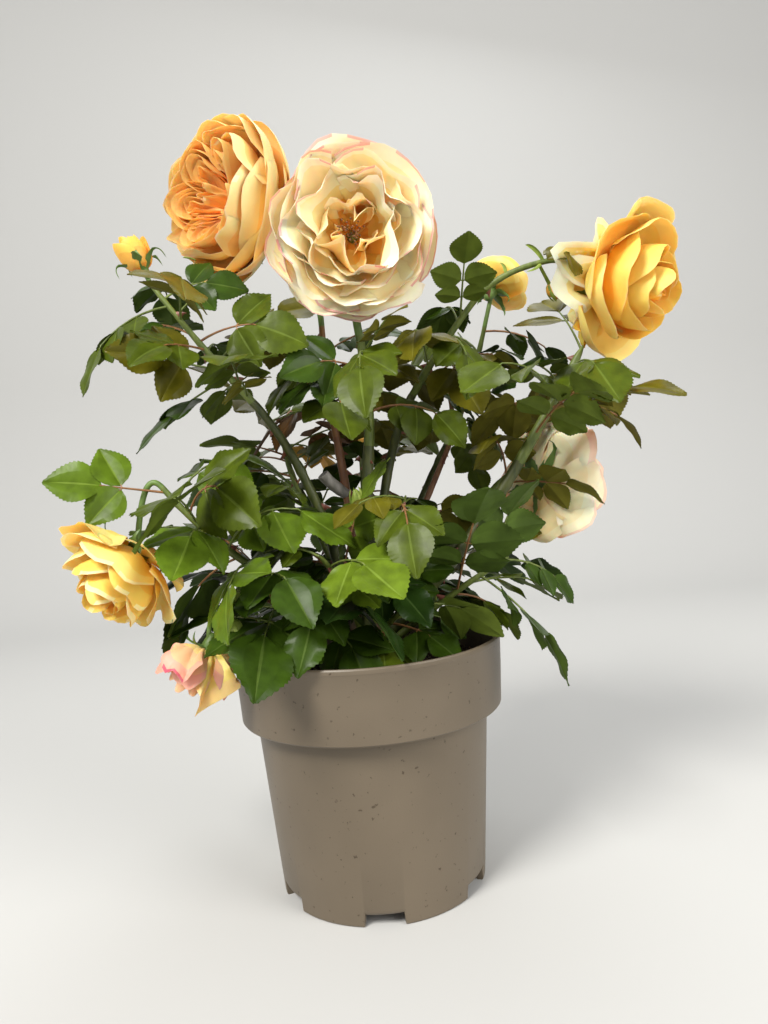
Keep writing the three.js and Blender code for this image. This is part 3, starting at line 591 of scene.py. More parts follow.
def grow_crown():
    """The leaves of each mass: those of the part, a few set one by one, and finer ones between them."""
    crown = {name: [] for name, *_ in MASSES}
    rooms = {name: ROOM * leaflet for name, *_, leaflet, _ in MASSES}

    def others():
        return [leaf for leaves in crown.values() for leaf in leaves]

    def grow(start_on_limb, share, size, seed_step):
        for name, start, *_, count, leaflet, seed in MASSES:
            first = start_on_limb if isinstance(start, str) else FIRST_LEAF
            most = round(share * count)
            crown[name] += grow_leaves(name, first, most, size * leaflet, seed_step + seed, others())

    def halfway(low, high):
        return (low + high) / 2

    grow(0, 1, 1, 0)
    for name, share, start, face, leaflet, droop in SET_LEAVES:
        stem = LIMBS[name]
        leaf = Leaf(point_on(stem.path, share), unit(start), face, leaflet, 1, droop, halfway)
        if fitted(leaf, stem, rooms[name], others()):
            crown[name].append(leaf)
    grow(FILL_START, FILL_SHARE, FILL_LEAFLET, FILL_SEED)
    return crown


# Materials
def shader(name, colour, roughness, **values):
    """A material with its own colour and roughness, its tree and its shader."""
    material = bpy.data.materials.new(name)
    material.use_nodes = True
    tree = material.node_tree
    principled = next(node for node in tree.nodes if node.type == "BSDF_PRINCIPLED")
    principled.inputs["Base Color"].default_value = (*colour, 1)
    principled.inputs["Roughness"].default_value = roughness
    for socket, value in values.items():
        principled.inputs[socket.replace("_", " ")].default_value = value
    return material, tree, principled


def noise_node(tree, scale, detail=4, vector=None):
    node = tree.nodes.new("ShaderNodeTexNoise")
    node.inputs["Scale"].default_value = scale
    node.inputs["Detail"].default_value = detail
    if vector is None:
        vector = tree.nodes.new("ShaderNodeTexCoord").outputs["Object"]
    tree.links.new(vector, node.inputs["Vector"])
    return node.outputs["Fac"]


def ramp(tree, factor, stops):
    """A colour ramp over (place, colour) stops."""
    node = tree.nodes.new("ShaderNodeValToRGB")
    elements = node.color_ramp.elements
    while len(elements) < len(stops):
        elements.new(0.5)
    for element, (place, colour) in zip(elements, stops):
        element.position = place
        element.color = (*colour, 1)
    tree.links.new(factor, node.inputs["Fac"])
    return node.outputs["Color"]


def bump(tree, principled, height, strength, distance):
    node = tree.nodes.new("ShaderNodeBump")
    node.inputs["Strength"].default_value = strength
    node.inputs["Distance"].default_value = distance
    tree.links.new(height, node.inputs["Height"])
    tree.links.new(node.outputs["Normal"], principled.inputs["Normal"])


def varied(name, colour, roughness, scale, share, bump_depth=0.0, **values):
    """A material whose colour wanders a little to darker and lighter."""
    material, tree, principled = shader(name, colour, roughness, **values)
    dark = tuple(c * (1 - share) for c in colour)
    light = tuple(min(1, c * (1 + share)) for c in colour)
    factor = noise_node(tree, scale)
    tone = ramp(tree, factor, [(0.3, dark), (0.7, light)])
    tree.links.new(tone, principled.inputs["Base Color"])
    if bump_depth:
        bump(tree, principled, factor, strength=0.6, distance=bump_depth)
    return material


# Leaf tints from the darkest to the youngest: the upper face's colour and the lower face's
LEAF_TINTS = {
    "deep": ((0.016, 0.038, 0.005), (0.04, 0.075, 0.014)),
    "dark": ((0.028, 0.056, 0.004), (0.055, 0.092, 0.012)),
    "mid": ((0.056, 0.08, 0.005), (0.09, 0.125, 0.015)),
    "olive": ((0.092, 0.084, 0.005), (0.13, 0.12, 0.014)),
    "fresh": ((0.078, 0.13, 0.008), (0.125, 0.19, 0.02)),
    "lime": ((0.1, 0.155, 0.01), (0.15, 0.22, 0.025)),
    "young": ((0.12, 0.06, 0.018), (0.17, 0.08, 0.03)),
    "dying": ((0.58, 0.28, 0.02), (0.55, 0.3, 0.05)),
}
TINT_NAMES = list(LEAF_TINTS)

# Roughness, the scale and share of the wandering, and the depth of the bumps in metres
LEAF_FACE = (0.34, 90, 0.28, 0.0005)
LEAF_UNDERSIDE = (0.6, 90, 0.18)
PETAL_FACE = (0.55, 60, 0.05, 0.0003)


def leaf_materials():
    materials = []
    for name, (upper, lower) in LEAF_TINTS.items():
        materials.append(varied("leaf_" + name, upper, *LEAF_FACE, Specular_IOR_Level=0.14))
        materials.append(varied("leaf_under_" + name, lower, *LEAF_UNDERSIDE, Specular_IOR_Level=0.12))
    return materials


# Petal tints: five from a petal's foot up, one for patches on its rim and one for worn petals
PETAL_TINTS = {
    "cream": [
        (0.82, 0.27, 0.02), (0.93, 0.47, 0.09), (0.965, 0.66, 0.26), (0.975, 0.77, 0.44),
        (0.98, 0.84, 0.61), (0.83, 0.43, 0.39), (0.94, 0.86, 0.7),
    ],
    "apricot": [
        (0.85, 0.27, 0.06), (0.9, 0.37, 0.085), (0.94, 0.47, 0.125), (0.96, 0.57, 0.18),
        (0.97, 0.67, 0.28), (0.975, 0.76, 0.42), (0.93, 0.85, 0.66),
    ],
    "yellow": [
        (0.88, 0.27, 0.035), (0.92, 0.38, 0.05), (0.95, 0.5, 0.07), (0.965, 0.6, 0.11),
        (0.975, 0.68, 0.19), (0.98, 0.77, 0.34), (0.94, 0.88, 0.66),
    ],
    "blush": [
        (0.95, 0.5, 0.16), (0.96, 0.6, 0.25), (0.975, 0.68, 0.35), (0.985, 0.74, 0.44),
        (0.99, 0.8, 0.54), (0.94, 0.58, 0.44), (0.95, 0.88, 0.74),
    ],
    "faded": [
        (0.9, 0.58, 0.1), (0.92, 0.6, 0.15), (0.92, 0.55, 0.2), (0.9, 0.46, 0.24),
        (0.86, 0.36, 0.26), (0.6, 0.08, 0.13), (0.9, 0.72, 0.35),
    ],
}
RIM_PAINT = 5


def petal_materials(tint):
    return [
        varied(f"petal_{tint}_{i}", colour, *PETAL_FACE, Subsurface_Weight=0.35, Subsurface_Scale=0.006)
        for i, colour in enumerate(PETAL_TINTS[tint])
    ]


# Pieces
SHARP_ANGLE = 75


def placed(name, data):
    """An object in the scene for its data."""
    thing = bpy.data.objects.new(name, data)
    bpy.context.scene.collection.objects.link(thing)
    return thing


class Mesh:
    """Points, faces and a material number for each face, gathered into one piece."""

    def __init__(self):
        self.points = []
        self.faces = []
        self.paints = []
        self.count = 0

    def add(self, points, faces, paints):
        self.points.append(np.asarray(points, float).reshape(-1, 3))
        self.faces.extend([tuple(self.count + i for i in face) for face in faces])
        self.paints.extend([paints] * len(faces) if isinstance(paints, int) else paints)
        self.count += len(self.points[-1])

    def piece(self, name, materials, slot, replaced=()):
        data = bpy.data.meshes.new(name)
        data.from_pydata((np.concatenate(self.points) * MM).tolist(), [], self.faces)
        for material in materials:
            data.materials.append(material)
        data.polygons.foreach_set("material_index", self.paints)
        data.polygons.foreach_set("use_smooth", [True] * len(self.faces))
        data.update()
        data.set_sharp_from_angle(angle=radians(SHARP_ANGLE))
        piece = placed(name, data)
        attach(piece, "root")
        if replaced:
            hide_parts(*replaced)
        return piece


def grid_faces(rows, columns, closed=False):
    """Quads over a grid of points, row by row. A closed grid joins its last column to its first."""
    faces = []
    for i in range(0, (rows - 1) * columns, columns):
        for j in range(columns if closed else columns - 1):
            k = (j + 1) % columns
            faces.append((i + j, i + k, i + columns + k, i + columns + j))
    return faces


def turned_faces(faces):
    """The faces, looking the other way."""
    return [tuple(reversed(face)) for face in faces]


def cap(first, sides):
    """A face over a ring of points, given its first."""
    return tuple(range(first, first + sides))


def cone_faces(first, sides, tip):
    """Triangles from a ring of points, given its first, to a tip."""
    return [(first + j, first + (j + 1) % sides, tip) for j in range(sides)]


def add_tube(mesh, path, radius, paint, sides, steps, relief=None):
    """A closed tube along a path. Its radius is a function of the share of the way along."""
    side = across(heading_on(path, 0))[0]
    rings = []
    for i in range(steps + 1):
        t = i / steps
        heading = heading_on(path, t)
        side = square_to(side, heading)
        other = cross(heading, side)
        centre = np.array(point_on(path, t))
        for a in circle(sides):
            out = np.array(side) * cos(a) + np.array(other) * sin(a)
            r = radius(t)
            if relief:
                r += relief(centre + out * r)
            rings.append(centre + out * r)
    faces = grid_faces(steps + 1, sides, closed=True)
    faces += [*turned_faces([cap(0, sides)]), cap(steps * sides, sides)]
    mesh.add(rings, faces, paint)


# A leaflet, in shares of its length, and the thickness of its rim in millimetres
LEAF_ROWS = 14
LEAF_COLUMNS = [-1, -0.55, -0.05, 0, 0.05, 0.55, 1]
RIB_COLUMNS = (2, 3)
LEAF_HALF_WIDTH = 0.425
LEAF_LENGTH = 1.04
LEAF_FOOT = 0.05
LEAF_THICKNESS = 0.008
TOOTH = 0.02
TOOTH_WIDTH = 1.05
RIB_DEPTH = 0.006
VEIN_DEPTH = 0.0045
VEIN_SLANT = 0.4
LEAF_RIM = 0.12


def leaflet_template():
    """The leaflet's faces and their zones: its rib, its blade and a tooth on each row's rim."""
    columns = len(LEAF_COLUMNS)
    teeth = (LEAF_ROWS + 1) * columns
    faces = []
    ribs = []
    for i in range(0, LEAF_ROWS * columns, columns):
        for j in range(1, columns - 2):
            faces.append((i + j, i + j + columns, i + j + columns + 1, i + j + 1))
            ribs.append(j in RIB_COLUMNS)
    for i in range(LEAF_ROWS):
        for hand, rim, inner in ((0, 0, 1), (1, columns - 1, columns - 2)):
            r0, r1 = i * columns + rim, (i + 1) * columns + rim
            n0, n1 = i * columns + inner, (i + 1) * columns + inner
            tooth = teeth + hand * LEAF_ROWS + i
            near = [(n0, tooth, r0), (n0, n1, tooth), (n1, r1, tooth)]
            faces += turned_faces(near) if hand else near
            ribs += [False] * 3
    return faces, ribs


LEAFLET_FACES, LEAFLET_RIBS = leaflet_template()


def half_width(t):
    """A leaflet's half width at a share of its length: broad below its middle, with a point."""
    return LEAF_HALF_WIDTH * max(0.0, sin(pi * t**0.8)) ** 0.8 * (1 - 0.25 * t**3)


def add_leaflet(mesh, blade, tint, draw):
    """A toothed leaflet, folded a little along its rib and bent over its length, with two faces."""
    fold, curl = draw(0.05, 0.4), draw(0.0, 0.2)
    wave, phase = draw(0.005, 0.035), draw(0, TURN)
    lobes = draw(1.2, 2.6)
    sweep = draw(-0.07, 0.07)

    def place(t, s, forward=0.0, wider=1.0):
        y = s * max(0.004, half_width(t)) * wider
        x = LEAF_FOOT + LEAF_LENGTH * t + forward + VEIN_SLANT * abs(y) * (1 - t) * t
        vein = VEIN_DEPTH * cos(pi * t * LEAF_ROWS) * abs(s) * (1 - abs(s)) * 4
        rim = wave * sin(TURN * lobes * t + phase + s) * s * s
        z = fold * abs(y) * (1 - 0.5 * abs(s)) - curl * x * x + rim + vein
        return (x, y + sweep * x * x, z - RIB_DEPTH * (s == 0))

    shares = [i / LEAF_ROWS for i in range(LEAF_ROWS + 1)]
    points = [place(t, s) for t in shares for s in LEAF_COLUMNS]
    for s in (-1, 1):
        points += [place((a + b) / 2, s, TOOTH, TOOTH_WIDTH) for a, b in spans(shares)]
    flat = np.array(points) * blade.size
    top = np.array(blade.base) + flat @ np.array([blade.axis, blade.side, blade.normal])
    thick = [LEAF_THICKNESS * (1 - abs(s)) for _ in shares for s in LEAF_COLUMNS]
    thick += [0.0] * (2 * LEAF_ROWS)
    low = top - np.outer(np.array(thick) * blade.size + LEAF_RIM, np.array(blade.normal))
    under = [tuple(len(top) + i for i in face) for face in turned_faces(LEAFLET_FACES)]
    upper_paint = 2 * TINT_NAMES.index(tint)
    paints = [upper_paint + rib for rib in LEAFLET_RIBS] + [upper_paint + 1] * len(under)
    mesh.add(np.concatenate([top, low]), LEAFLET_FACES + under, paints)


# The share of some masses' leaves that have a tint of their own, and where chance makes a leaf
# die or stay young
OWN_TINTS = {"leaves_low_left": ("fresh", 0.6), "leaves_front": ("lime", 0.16)}
DYING_FROM = 0.993
YOUNG_FROM = 0.94
TOP_HEIGHT = 330

# The tints of all other leaves below each height, with the chance that each tint ends at
HEIGHT_TINTS = [
    (250, [("deep", 0.45), ("dark", 0.8), ("mid", 1)]),
    (TOP_HEIGHT, [("dark", 0.5), ("mid", 0.8), ("olive", 1)]),
    (inf, [("dark", 0.2), ("mid", 0.45), ("olive", 1)]),
]


def tint_of(name, leaf, draw):
    """A leaf's tint by its mass, its height and chance."""
    height = leaf.points[END_NODE][2]
    chance = draw()
    own, share = OWN_TINTS.get(name, (None, 0))
    if chance < share:
        return own
    if chance > DYING_FROM:
        return "dying"
    if chance > YOUNG_FROM:
        return "young" if height > TOP_HEIGHT else "fresh"
    tints = next(tints for top, tints in HEIGHT_TINTS if height < top)
    return next(tint for tint, end in tints if chance < end)


# The pieces that the foliage is gathered into, and the height that their stems' middles lie below
LEAF_PIECES = {"leaves_low": 265, "leaves_middle": 350, "leaves_upper": inf}


def make_leaves(crown):
    meshes = {piece: Mesh() for piece in LEAF_PIECES}
    replaced = {piece: [] for piece in LEAF_PIECES}
    for number, (name, leaves) in enumerate(crown.items()):
        middle = LIMBS[name].points[LIMB_STEPS // 2]
        home = next(piece for piece, top in LEAF_PIECES.items() if middle[2] < top)
        if leaves:
            replaced[home].append(name)
        for k, leaf in enumerate(leaves):
            draw = random_from(number * 1000 + k + 7)
            tint = tint_of(name, leaf, draw)
            for blade in leaf.blades:
                add_leaflet(meshes[home], blade, tint, draw)
    materials = leaf_materials()
    for name, mesh in meshes.items():
        mesh.piece(name, materials, "leaf", replaced[name])


# Canes, stems and rachises
CANE_TINTS = {
    "cane_green": ((0.03, 0.042, 0.009), (0.085, 0.096, 0.02)),
    "cane_red": ((0.13, 0.045, 0.02), (0.24, 0.11, 0.045)),
    "cane_brown": ((0.09, 0.055, 0.028), (0.18, 0.12, 0.065)),
    "stem_green": ((0.075, 0.11, 0.016), (0.15, 0.19, 0.032)),
    "stem_red": ((0.18, 0.07, 0.028), (0.28, 0.14, 0.045)),
    "prickle": ((0.12, 0.03, 0.018), (0.24, 0.08, 0.045)),
    "bud_green": ((0.16, 0.24, 0.03), (0.3, 0.38, 0.06)),
    "bud_tip": ((0.75, 0.3, 0.03), (0.9, 0.5, 0.08)),
    "cut_wood": ((0.16, 0.15, 0.13), (0.3, 0.28, 0.25)),
}
CANE_PAINTS = {name: i for i, name in enumerate(CANE_TINTS)}
RED_LIMBS = ("cane_red_right", "cane_inner_left", "leaves_red_right", "leaves_inner_left")
CARRIERS = {row[1] for row in [*MASSES, *BLOOMS] if isinstance(row[1], str)}
CANE_PRICKLE_SPACING = 14
STEM_PRICKLE_SPACING = 22
STEM_SINK = 1.2


def cane_materials():
    materials = []
    for name, (dark, light) in CANE_TINTS.items():
        material, tree, principled = shader(name, dark, 0.5)
        coordinates = tree.nodes.new("ShaderNodeTexCoord")
        stretch = tree.nodes.new("ShaderNodeMapping")
        stretch.inputs["Scale"].default_value = (1, 1, 0.25)
        tree.links.new(coordinates.outputs["Object"], stretch.inputs["Vector"])
        factor = noise_node(tree, scale=260, detail=5, vector=stretch.outputs["Vector"])
        tone = ramp(tree, factor, [(0.3, dark), (0.68, light)])
        tree.links.new(tone, principled.inputs["Base Color"])
        bump(tree, principled, factor, strength=0.5, distance=0.0006)
        materials.append(material)
    return materials


def bark_relief(depth):
    """Broad swellings with fine ones on them, which are drawn out up the stem."""
    def relief(p):
        fine = Vector((p[0] * 0.5, p[1] * 0.5, p[2] * 0.12))
        return depth * (noise.noise(Vector(p) * 0.11) + 0.6 * noise.noise(fine))

    return relief


# A prickle's rings, in shares of its size: how far out, how long and wide, and how far down
PRICKLE_RINGS = [(0, 1, 0.42, 0), (0.45, 0.46, 0.2, 0.12), (0.8, 0.2, 0.1, 0.34)]
PRICKLE_SIDES = 6
PRICKLE_HALF = 0.55


def add_prickle(mesh, limb, t, turn, size):
    """A hooked prickle: a broad flat foot drawn out to a point that bends down the stem."""
    heading = heading_on(limb.path, t)
    out = spoke(*across(heading), turn)
    sideways = cross(heading, out)
    foot = onward(point_on(limb.path, t), out, limb.radius(t) * 0.8)
    rings = []
    for share, long, wide, down in PRICKLE_RINGS:
        middle = plus(foot, plus(times(out, size * share), times(heading, -size * down)))
        for angle in circle(PRICKLE_SIDES):
            along = times(heading, cos(angle) * size * PRICKLE_HALF * long)
            across_it = times(sideways, sin(angle) * size * wide * PRICKLE_HALF)
            rings.append(plus(middle, plus(along, across_it)))
    tip = len(rings)
    rings.append(plus(foot, plus(times(out, size), times(heading, -size * PRICKLE_HALF))))
    faces = grid_faces(len(PRICKLE_RINGS), PRICKLE_SIDES, closed=True)
    faces += cone_faces(tip - PRICKLE_SIDES, PRICKLE_SIDES, tip)
    mesh.add(rings, turned_faces(faces), CANE_PAINTS["prickle"])


def add_limb(mesh, limb, paint, depth, sink, spacing, draw, pointed=False):
    """A stem with relief, a few nodes and prickles, which sinks into what it grows from. One that
    carries nothing at its tip ends in a point."""
    path = limb.sunk(sink)
    size = length(minus(path[2], path[0]))
    joints = [draw(0.12, 0.95) for _ in range(max(2, int(size / 38)))]

    def radius(t):
        swell = sum(0.12 * exp(-(((t - joint) * size / 3.2) ** 2)) for joint in joints)
        taper = min(1, (1 - t) * size / 9 + 0.15) ** 0.6 if pointed else 1
        return limb.radius(t) * (1 + swell) * taper

    steps = max(6, int(size / 5))
    add_tube(mesh, path, radius, CANE_PAINTS[paint], sides=12, steps=steps, relief=bark_relief(depth))
    for _ in range(int(limb.reach() / spacing)):
        add_prickle(mesh, limb, draw(0.08, 0.94), draw(0, TURN), draw(3.8, 7))


def make_canes():
    mesh = Mesh()
    names = [name for name, *_ in CANES]
    for number, name in enumerate(names):
        paint = "cane_red" if name in RED_LIMBS else "cane_green"
        add_limb(mesh, LIMBS[name], paint, 0.35, 0, CANE_PRICKLE_SPACING, random_from(300 + number))
    mesh.piece("canes", cane_materials(), "cane", names)


ROOTSTOCK_SINK = 2
ROOTSTOCK_DOME = 3.5


def make_rootstock():
    """The knotted foot that the canes stand in."""
    mesh = Mesh()
    last = len(ROOTSTOCK_RADII) - 1
    sides, rows = 40, 34
    points = []
    foot = SOIL_HEIGHT - ROOTSTOCK_SINK
    for i in range(rows + 1):
        height = i / rows * (ROOTSTOCK_HEIGHT + ROOTSTOCK_SINK)
        place = min(last - 0.001, max(0, height - ROOTSTOCK_SINK) / (ROOTSTOCK_HEIGHT / last))
        k = int(place)
        radius = between(*ROOTSTOCK_RADII[k:k + 2], place - k)
        for a in circle(sides):
            out = Vector((cos(a), sin(a), height * 0.05))
            fine = Vector((out.x * 7, out.y * 7, height * 0.06))
            r = radius + 1.8 * noise.noise(out * 2.3) + 0.9 * noise.noise(fine)
            points.append(polar(r, a, foot + height))
    points.append((0, 0, foot + ROOTSTOCK_HEIGHT + ROOTSTOCK_DOME))
    faces = grid_faces(rows + 1, sides, closed=True)
    faces += cone_faces(rows * sides, sides, len(points) - 1)
    faces += turned_faces([cap(0, sides)])
    mesh.add(points, faces, CANE_PAINTS["cane_brown"])
    mesh.piece("rootstock_bark", cane_materials(), "rootstock", ["rootstock"])


def make_stems(crown):
    """The stems within the masses, and the rachis of each leaf."""
    mesh = Mesh()
    for number, (name, leaves) in enumerate(crown.items()):
        draw = random_from(600 + number)
        sink = STEM_SINK if isinstance(MASSES[number][1], str) else 0
        paint = "stem_red" if name in RED_LIMBS else "stem_green"
        pointed = name not in CARRIERS
        add_limb(mesh, LIMBS[name], paint, 0.15, sink, STEM_PRICKLE_SPACING, draw, pointed)
        for leaf in leaves:
            paint = CANE_PAINTS["stem_red" if draw() < 0.35 else "stem_green"]
            add_tube(mesh, leaf.rachis, lambda t: 1.05 - 0.45 * t, paint, sides=5, steps=6)
            for blade in leaf.blades:
                stalk = [onward(blade.base, blade.axis, s * blade.size) for s in (0, 0.04, 0.09)]
                add_tube(mesh, stalk, lambda t: 0.65 - 0.2 * t, paint, sides=4, steps=1)
    mesh.piece("stems", cane_materials(), "cane", ["cane_arching_end"])


# A small bud: the limb that it grows from and where along it, the place of its foot, where it
# points, its length and radius, and the paint of its tip.
BUDS = [
    ("cane_centre", 0.62, (4, -22, 291), (-0.2, -0.2, 1), 17, 6.4, "bud_green"),
    ("leaves_front_right", 0.5, (8, -62, 222), (-0.2, -0.5, 0.8), 14, 4, "bud_green"),
    ("leaves_lowest_left", 0.97, (-90, -74, 224), (0.25, -0.4, -0.8), 15, 5.4, "bud_green"),
    ("cane_arching_end", 0.92, (167, 16, 459), (0.4, 0.3, -0.7), 14, 5, "bud_tip"),
    ("leaves_back", 0.9, (4, 128, 345), (0.1, 0.4, 1), 18, 6, "bud_tip"),
]
BUD_SWELL = [0.45, 0.8, 1, 0.98, 0.8, 0.5, 0.16]

# A bract: where it grows from, where it points, and its size
BRACTS = [
    ((161, 3, 474), (-0.5, -0.3, 1), 23),
    ((158, 4, 473), (-0.3, -0.7, -0.5), 19),
    ((165, 2, 474), (0.5, -0.5, 0.8), 14),
    ((131, 9, 466), (0.2, -0.2, 1), 13),
    ((-112, 12, 498), (-0.8, -0.4, 0.3), 13),
    ((64, 26, 398), (-0.5, -0.6, 0.6), 14),
]

# The pruned stub on the inner left cane: where along the cane it grows, its tip and its radii
STUB_START = 0.62
STUB_TIP = (-25, 3, 321)
STUB_RADII = (4.4, 5)


def add_bud(mesh, limb, share, foot, points_to, size, radius, paint):
    """A closed bud on a thin stalk, with five sepals wrapped up its sides."""
    axis = unit(points_to)
    start = point_on(limb.path, share)
    stalk = (start, onward(foot, axis, -0.35 * length(minus(foot, start))), foot)
    green = CANE_PAINTS["bud_green"]
    add_tube(mesh, stalk, lambda t: 1.3 + 0.3 * t, green, sides=8, steps=10)
    last = len(BUD_SWELL) - 1
    path = [onward(foot, axis, size * part) for part in (0, 0.5, 1)]
    tip = CANE_PAINTS[paint]
    add_tube(mesh, path, lambda t: radius * BUD_SWELL[round(last * t)], tip, sides=14, steps=last)
    for turn in circle(5):
        out = spoke(*across(axis), turn)
        sepal = [
            onward(onward(foot, axis, up * size), out, wide * radius)
            for up, wide in ((0, 0.45), (0.5, 1.45), (1.08, 0.5))
        ]
        add_bract(mesh, sepal, out, 0.34 * radius, green)


def add_bract(mesh, path, normal, half, paint):
    """A narrow pointed blade along a path, which faces its normal."""
    def place(t, s):
        sideways = unit(cross(heading_on(path, t), normal))
        width = half * (0.5 + 1.6 * t) * (1 - t) ** 0.8 * 1.3 + 0.1
        flat = onward(point_on(path, t), sideways, s * width)
        return onward(flat, normal, -0.35 * width * s * s)

    add_sheet(mesh, 9, 5, place, (paint, paint))


def make_buds():
    """The small buds, the curled bracts at the stems' joints and a pruned stub."""
    mesh = Mesh()
    for limb, *bud in BUDS:
        add_bud(mesh, LIMBS[limb], *bud)
    for start, points_to, size in BRACTS:
        axis = unit(points_to)
        side, other = across(axis)
        middle = onward(start, axis, 0.6 * size)
        tip = plus(middle, plus(times(axis, 0.15 * size), times(side, 0.45 * size)))
        add_bract(mesh, (start, middle, tip), other, 0.1 * size, CANE_PAINTS["bud_green"])
    stub = bowed_path(point_on(LIMBS["cane_inner_left"].path, STUB_START), STUB_TIP, -0.2)
    wood, bark = CANE_PAINTS["cut_wood"], bark_relief(0.5)
    add_tube(mesh, stub, lambda t: between(*STUB_RADII, t), wood, sides=14, steps=8, relief=bark)
    mesh.piece("buds", cane_materials(), "cane")


# Blooms
PETAL_ROWS = 11
PETAL_COLUMNS = 13
PETAL_THICKNESS = 0.5

# What a petal is like where nothing else is said. Its azimuth in radians and its half width in
# degrees lie round the axis, and its points are shares of the bloom's radius and depth.
PLAIN_PETAL = {"heart": (0, 0), "foot": (0.05, 0.03), "rounding": 0.34, "crumple": 0.035,
               "cupped": 0.5, "point": 0.5, "rim": 0.0}


def quadratic(t, start, pull, end):
    return (1 - t) ** 2 * start + 2 * t * (1 - t) * pull + t * t * end


def add_petal(mesh, flower, looks, draw):
    """A petal is a curved sheet round its heart. Its middle line climbs from its foot by its pull
    to its end, its top is round, and its rim rolls out and waves."""
    petal = {**PLAIN_PETAL, **looks}
    radius, depth = flower.radius, flower.depth
    phase, waves, offset = draw(0, TURN), draw(0.9, 2.2), draw(0, 100)
    lean, notch = draw(-0.12, 0.12), draw(0.0, 0.05)
    foot, pull, end = petal["foot"], petal["pull"], petal["end"]

    def place(share, u):
        v = 1 - (1 - share) ** 1.3
        t = v * (1 - petal["rounding"] * abs(u) ** 2.2 - notch * exp(-((u / 0.25) ** 2)))
        out = radius * quadratic(t + petal["cupped"] * (v - t), foot[0], pull[0], end[0])
        along = depth * quadratic(t, foot[1], pull[1], end[1])
        roll = petal["curl"] * t**4 * (1 - petal["point"] * u * u)
        out += radius * roll
        along -= radius * roll * 0.7
        ripple = petal["ruffle"] * t**2.5 * sin(waves * pi * u + phase)
        dent = petal["crumple"] * t * noise.noise(Vector((1.6 * u + offset, 2.1 * t, offset)))
        out += radius * (ripple + dent)
        along += depth * (0.5 * ripple - dent)
        opened = 0.42 + 0.58 * sin(min(1, 1.2 * t) * pi / 2)
        angle = petal["azimuth"] + u * radians(petal["width"]) * opened
        heart = times((*petal["heart"], 0), radius * min(1, 1.6 * t))
        shares = plus(heart, polar(out * (1 + lean * u), angle, along))
        return placed_on(flower.base, flower.axes, shares)

    add_sheet(mesh, PETAL_ROWS, PETAL_COLUMNS, place, petal["zones"], petal["rim"], offset)


def add_sheet(mesh, rows, columns, place, zones, tinged=0.0, offset=0.0):
    """A thin closed body. Its points are a function of the share of the way from its foot to its
    top, and of its place from side to side, from -1 to 1. A second layer lies behind the first and
    meets its rim. A share of about tinged of its top takes the rim's colour, in patches."""
    sides = [2 * c / (columns - 1) - 1 for c in range(columns)]
    grid = np.array([[place(r / (rows - 1), s) for s in sides] for r in range(rows)])
    normal = np.cross(np.gradient(grid, axis=0), np.gradient(grid, axis=1))
    normal /= np.maximum(1e-9, np.linalg.norm(normal, axis=2, keepdims=True))
    back = (grid - normal * PETAL_THICKNESS).reshape(-1, 3)
    paints = []
    for i in range(rows - 1):
        zone = round(between(*zones, i / (rows - 2)))
        for j in range(columns - 1):
            near_rim = i == rows - 2 and noise.noise(Vector((0.3 * j, 0, offset))) < tinged - 0.5
            paints.append(RIM_PAINT if near_rim else zone)
    partners = list(range(rows * columns))
    inner = [k for k in partners if 0 < k // columns < rows - 1 and 0 < k % columns < columns - 1]
    for number, k in enumerate(inner):
        partners[k] = rows * columns + number
    front = grid_faces(rows, columns)
    behind = [tuple(partners[k] for k in face) for face in turned_faces(front)]
    mesh.add(np.concatenate([grid.reshape(-1, 3), back[inner]]), front + behind, paints * 2)


# A ring of petals: how many, each one's half width, the first one's place, the pull and end of
# its middle line, its curl and ruffle, its tints from foot to top, the share of its rim that is
# tinged, its crumpling and how far it is cupped.
RING_PARTS = "count width turn pull end curl ruffle zones rim crumple cupped".split()
OPEN_RINGS = [
    (6, 48, 10, (0.95, -0.02), (1.02, 0.3), 0.06, 0.03, (3, 4), 0.75, 0.1, 0),
    (6, 47, 40, (0.9, 0.06), (0.95, 0.52), 0.06, 0.04, (2, 4), 0.6, 0.12, 0.3),
    (6, 48, 12, (0.78, 0.1), (0.83, 0.68), 0.06, 0.055, (1, 4), 0.3, 0.14, 0.6),
    (6, 48, 52, (0.64, 0.14), (0.69, 0.8), 0.05, 0.07, (1, 4), 0.25, 0.16, 0.8),
    (5, 52, 20, (0.5, 0.16), (0.54, 0.88), 0.03, 0.09, (0, 4), 0.2, 0.2, 0.9),
    (4, 50, 75, (0.34, 0.18), (0.38, 0.8), 0.0, 0.1, (0, 3), 0.0, 0.22, 0.9),
    (3, 44, 5, (0.24, 0.2), (0.26, 0.66), -0.04, 0.08, (0, 3), 0.0, 0.2, 0.9),
]
QUARTERED_RINGS = [
    (5, 50, 0, (1.0, -0.02), (0.98, 0.44), 0.1, 0.025, (3, 4), 0, 0.06, 0.2),
    (6, 46, 30, (1.0, 0.06), (0.96, 0.7), 0.08, 0.03, (3, 4), 0, 0.06, 0.5),
    (7, 40, 10, (0.97, 0.14), (0.89, 0.88), 0.06, 0.035, (2, 4), 0, 0.06, 0.7),
    (8, 35, 33, (0.88, 0.2), (0.78, 0.97), 0.03, 0.045, (1, 4), 0, 0.08, 0.8),
]


def ring_petals(rings, draw):
    petals = []
    for row in rings:
        ring = dict(zip(RING_PARTS, row))
        for turn in circle(ring["count"]):
            petals.append({
                **ring,
                "azimuth": turn + radians(ring["turn"] + draw(-13, 13)),
                "end": (ring["end"][0] * draw(0.86, 1.04), ring["end"][1] * draw(0.86, 1.1)),
                "width": ring["width"] * draw(0.85, 1.15),
                "rounding": 0.25,
                "point": 0.1,
            })
    return petals


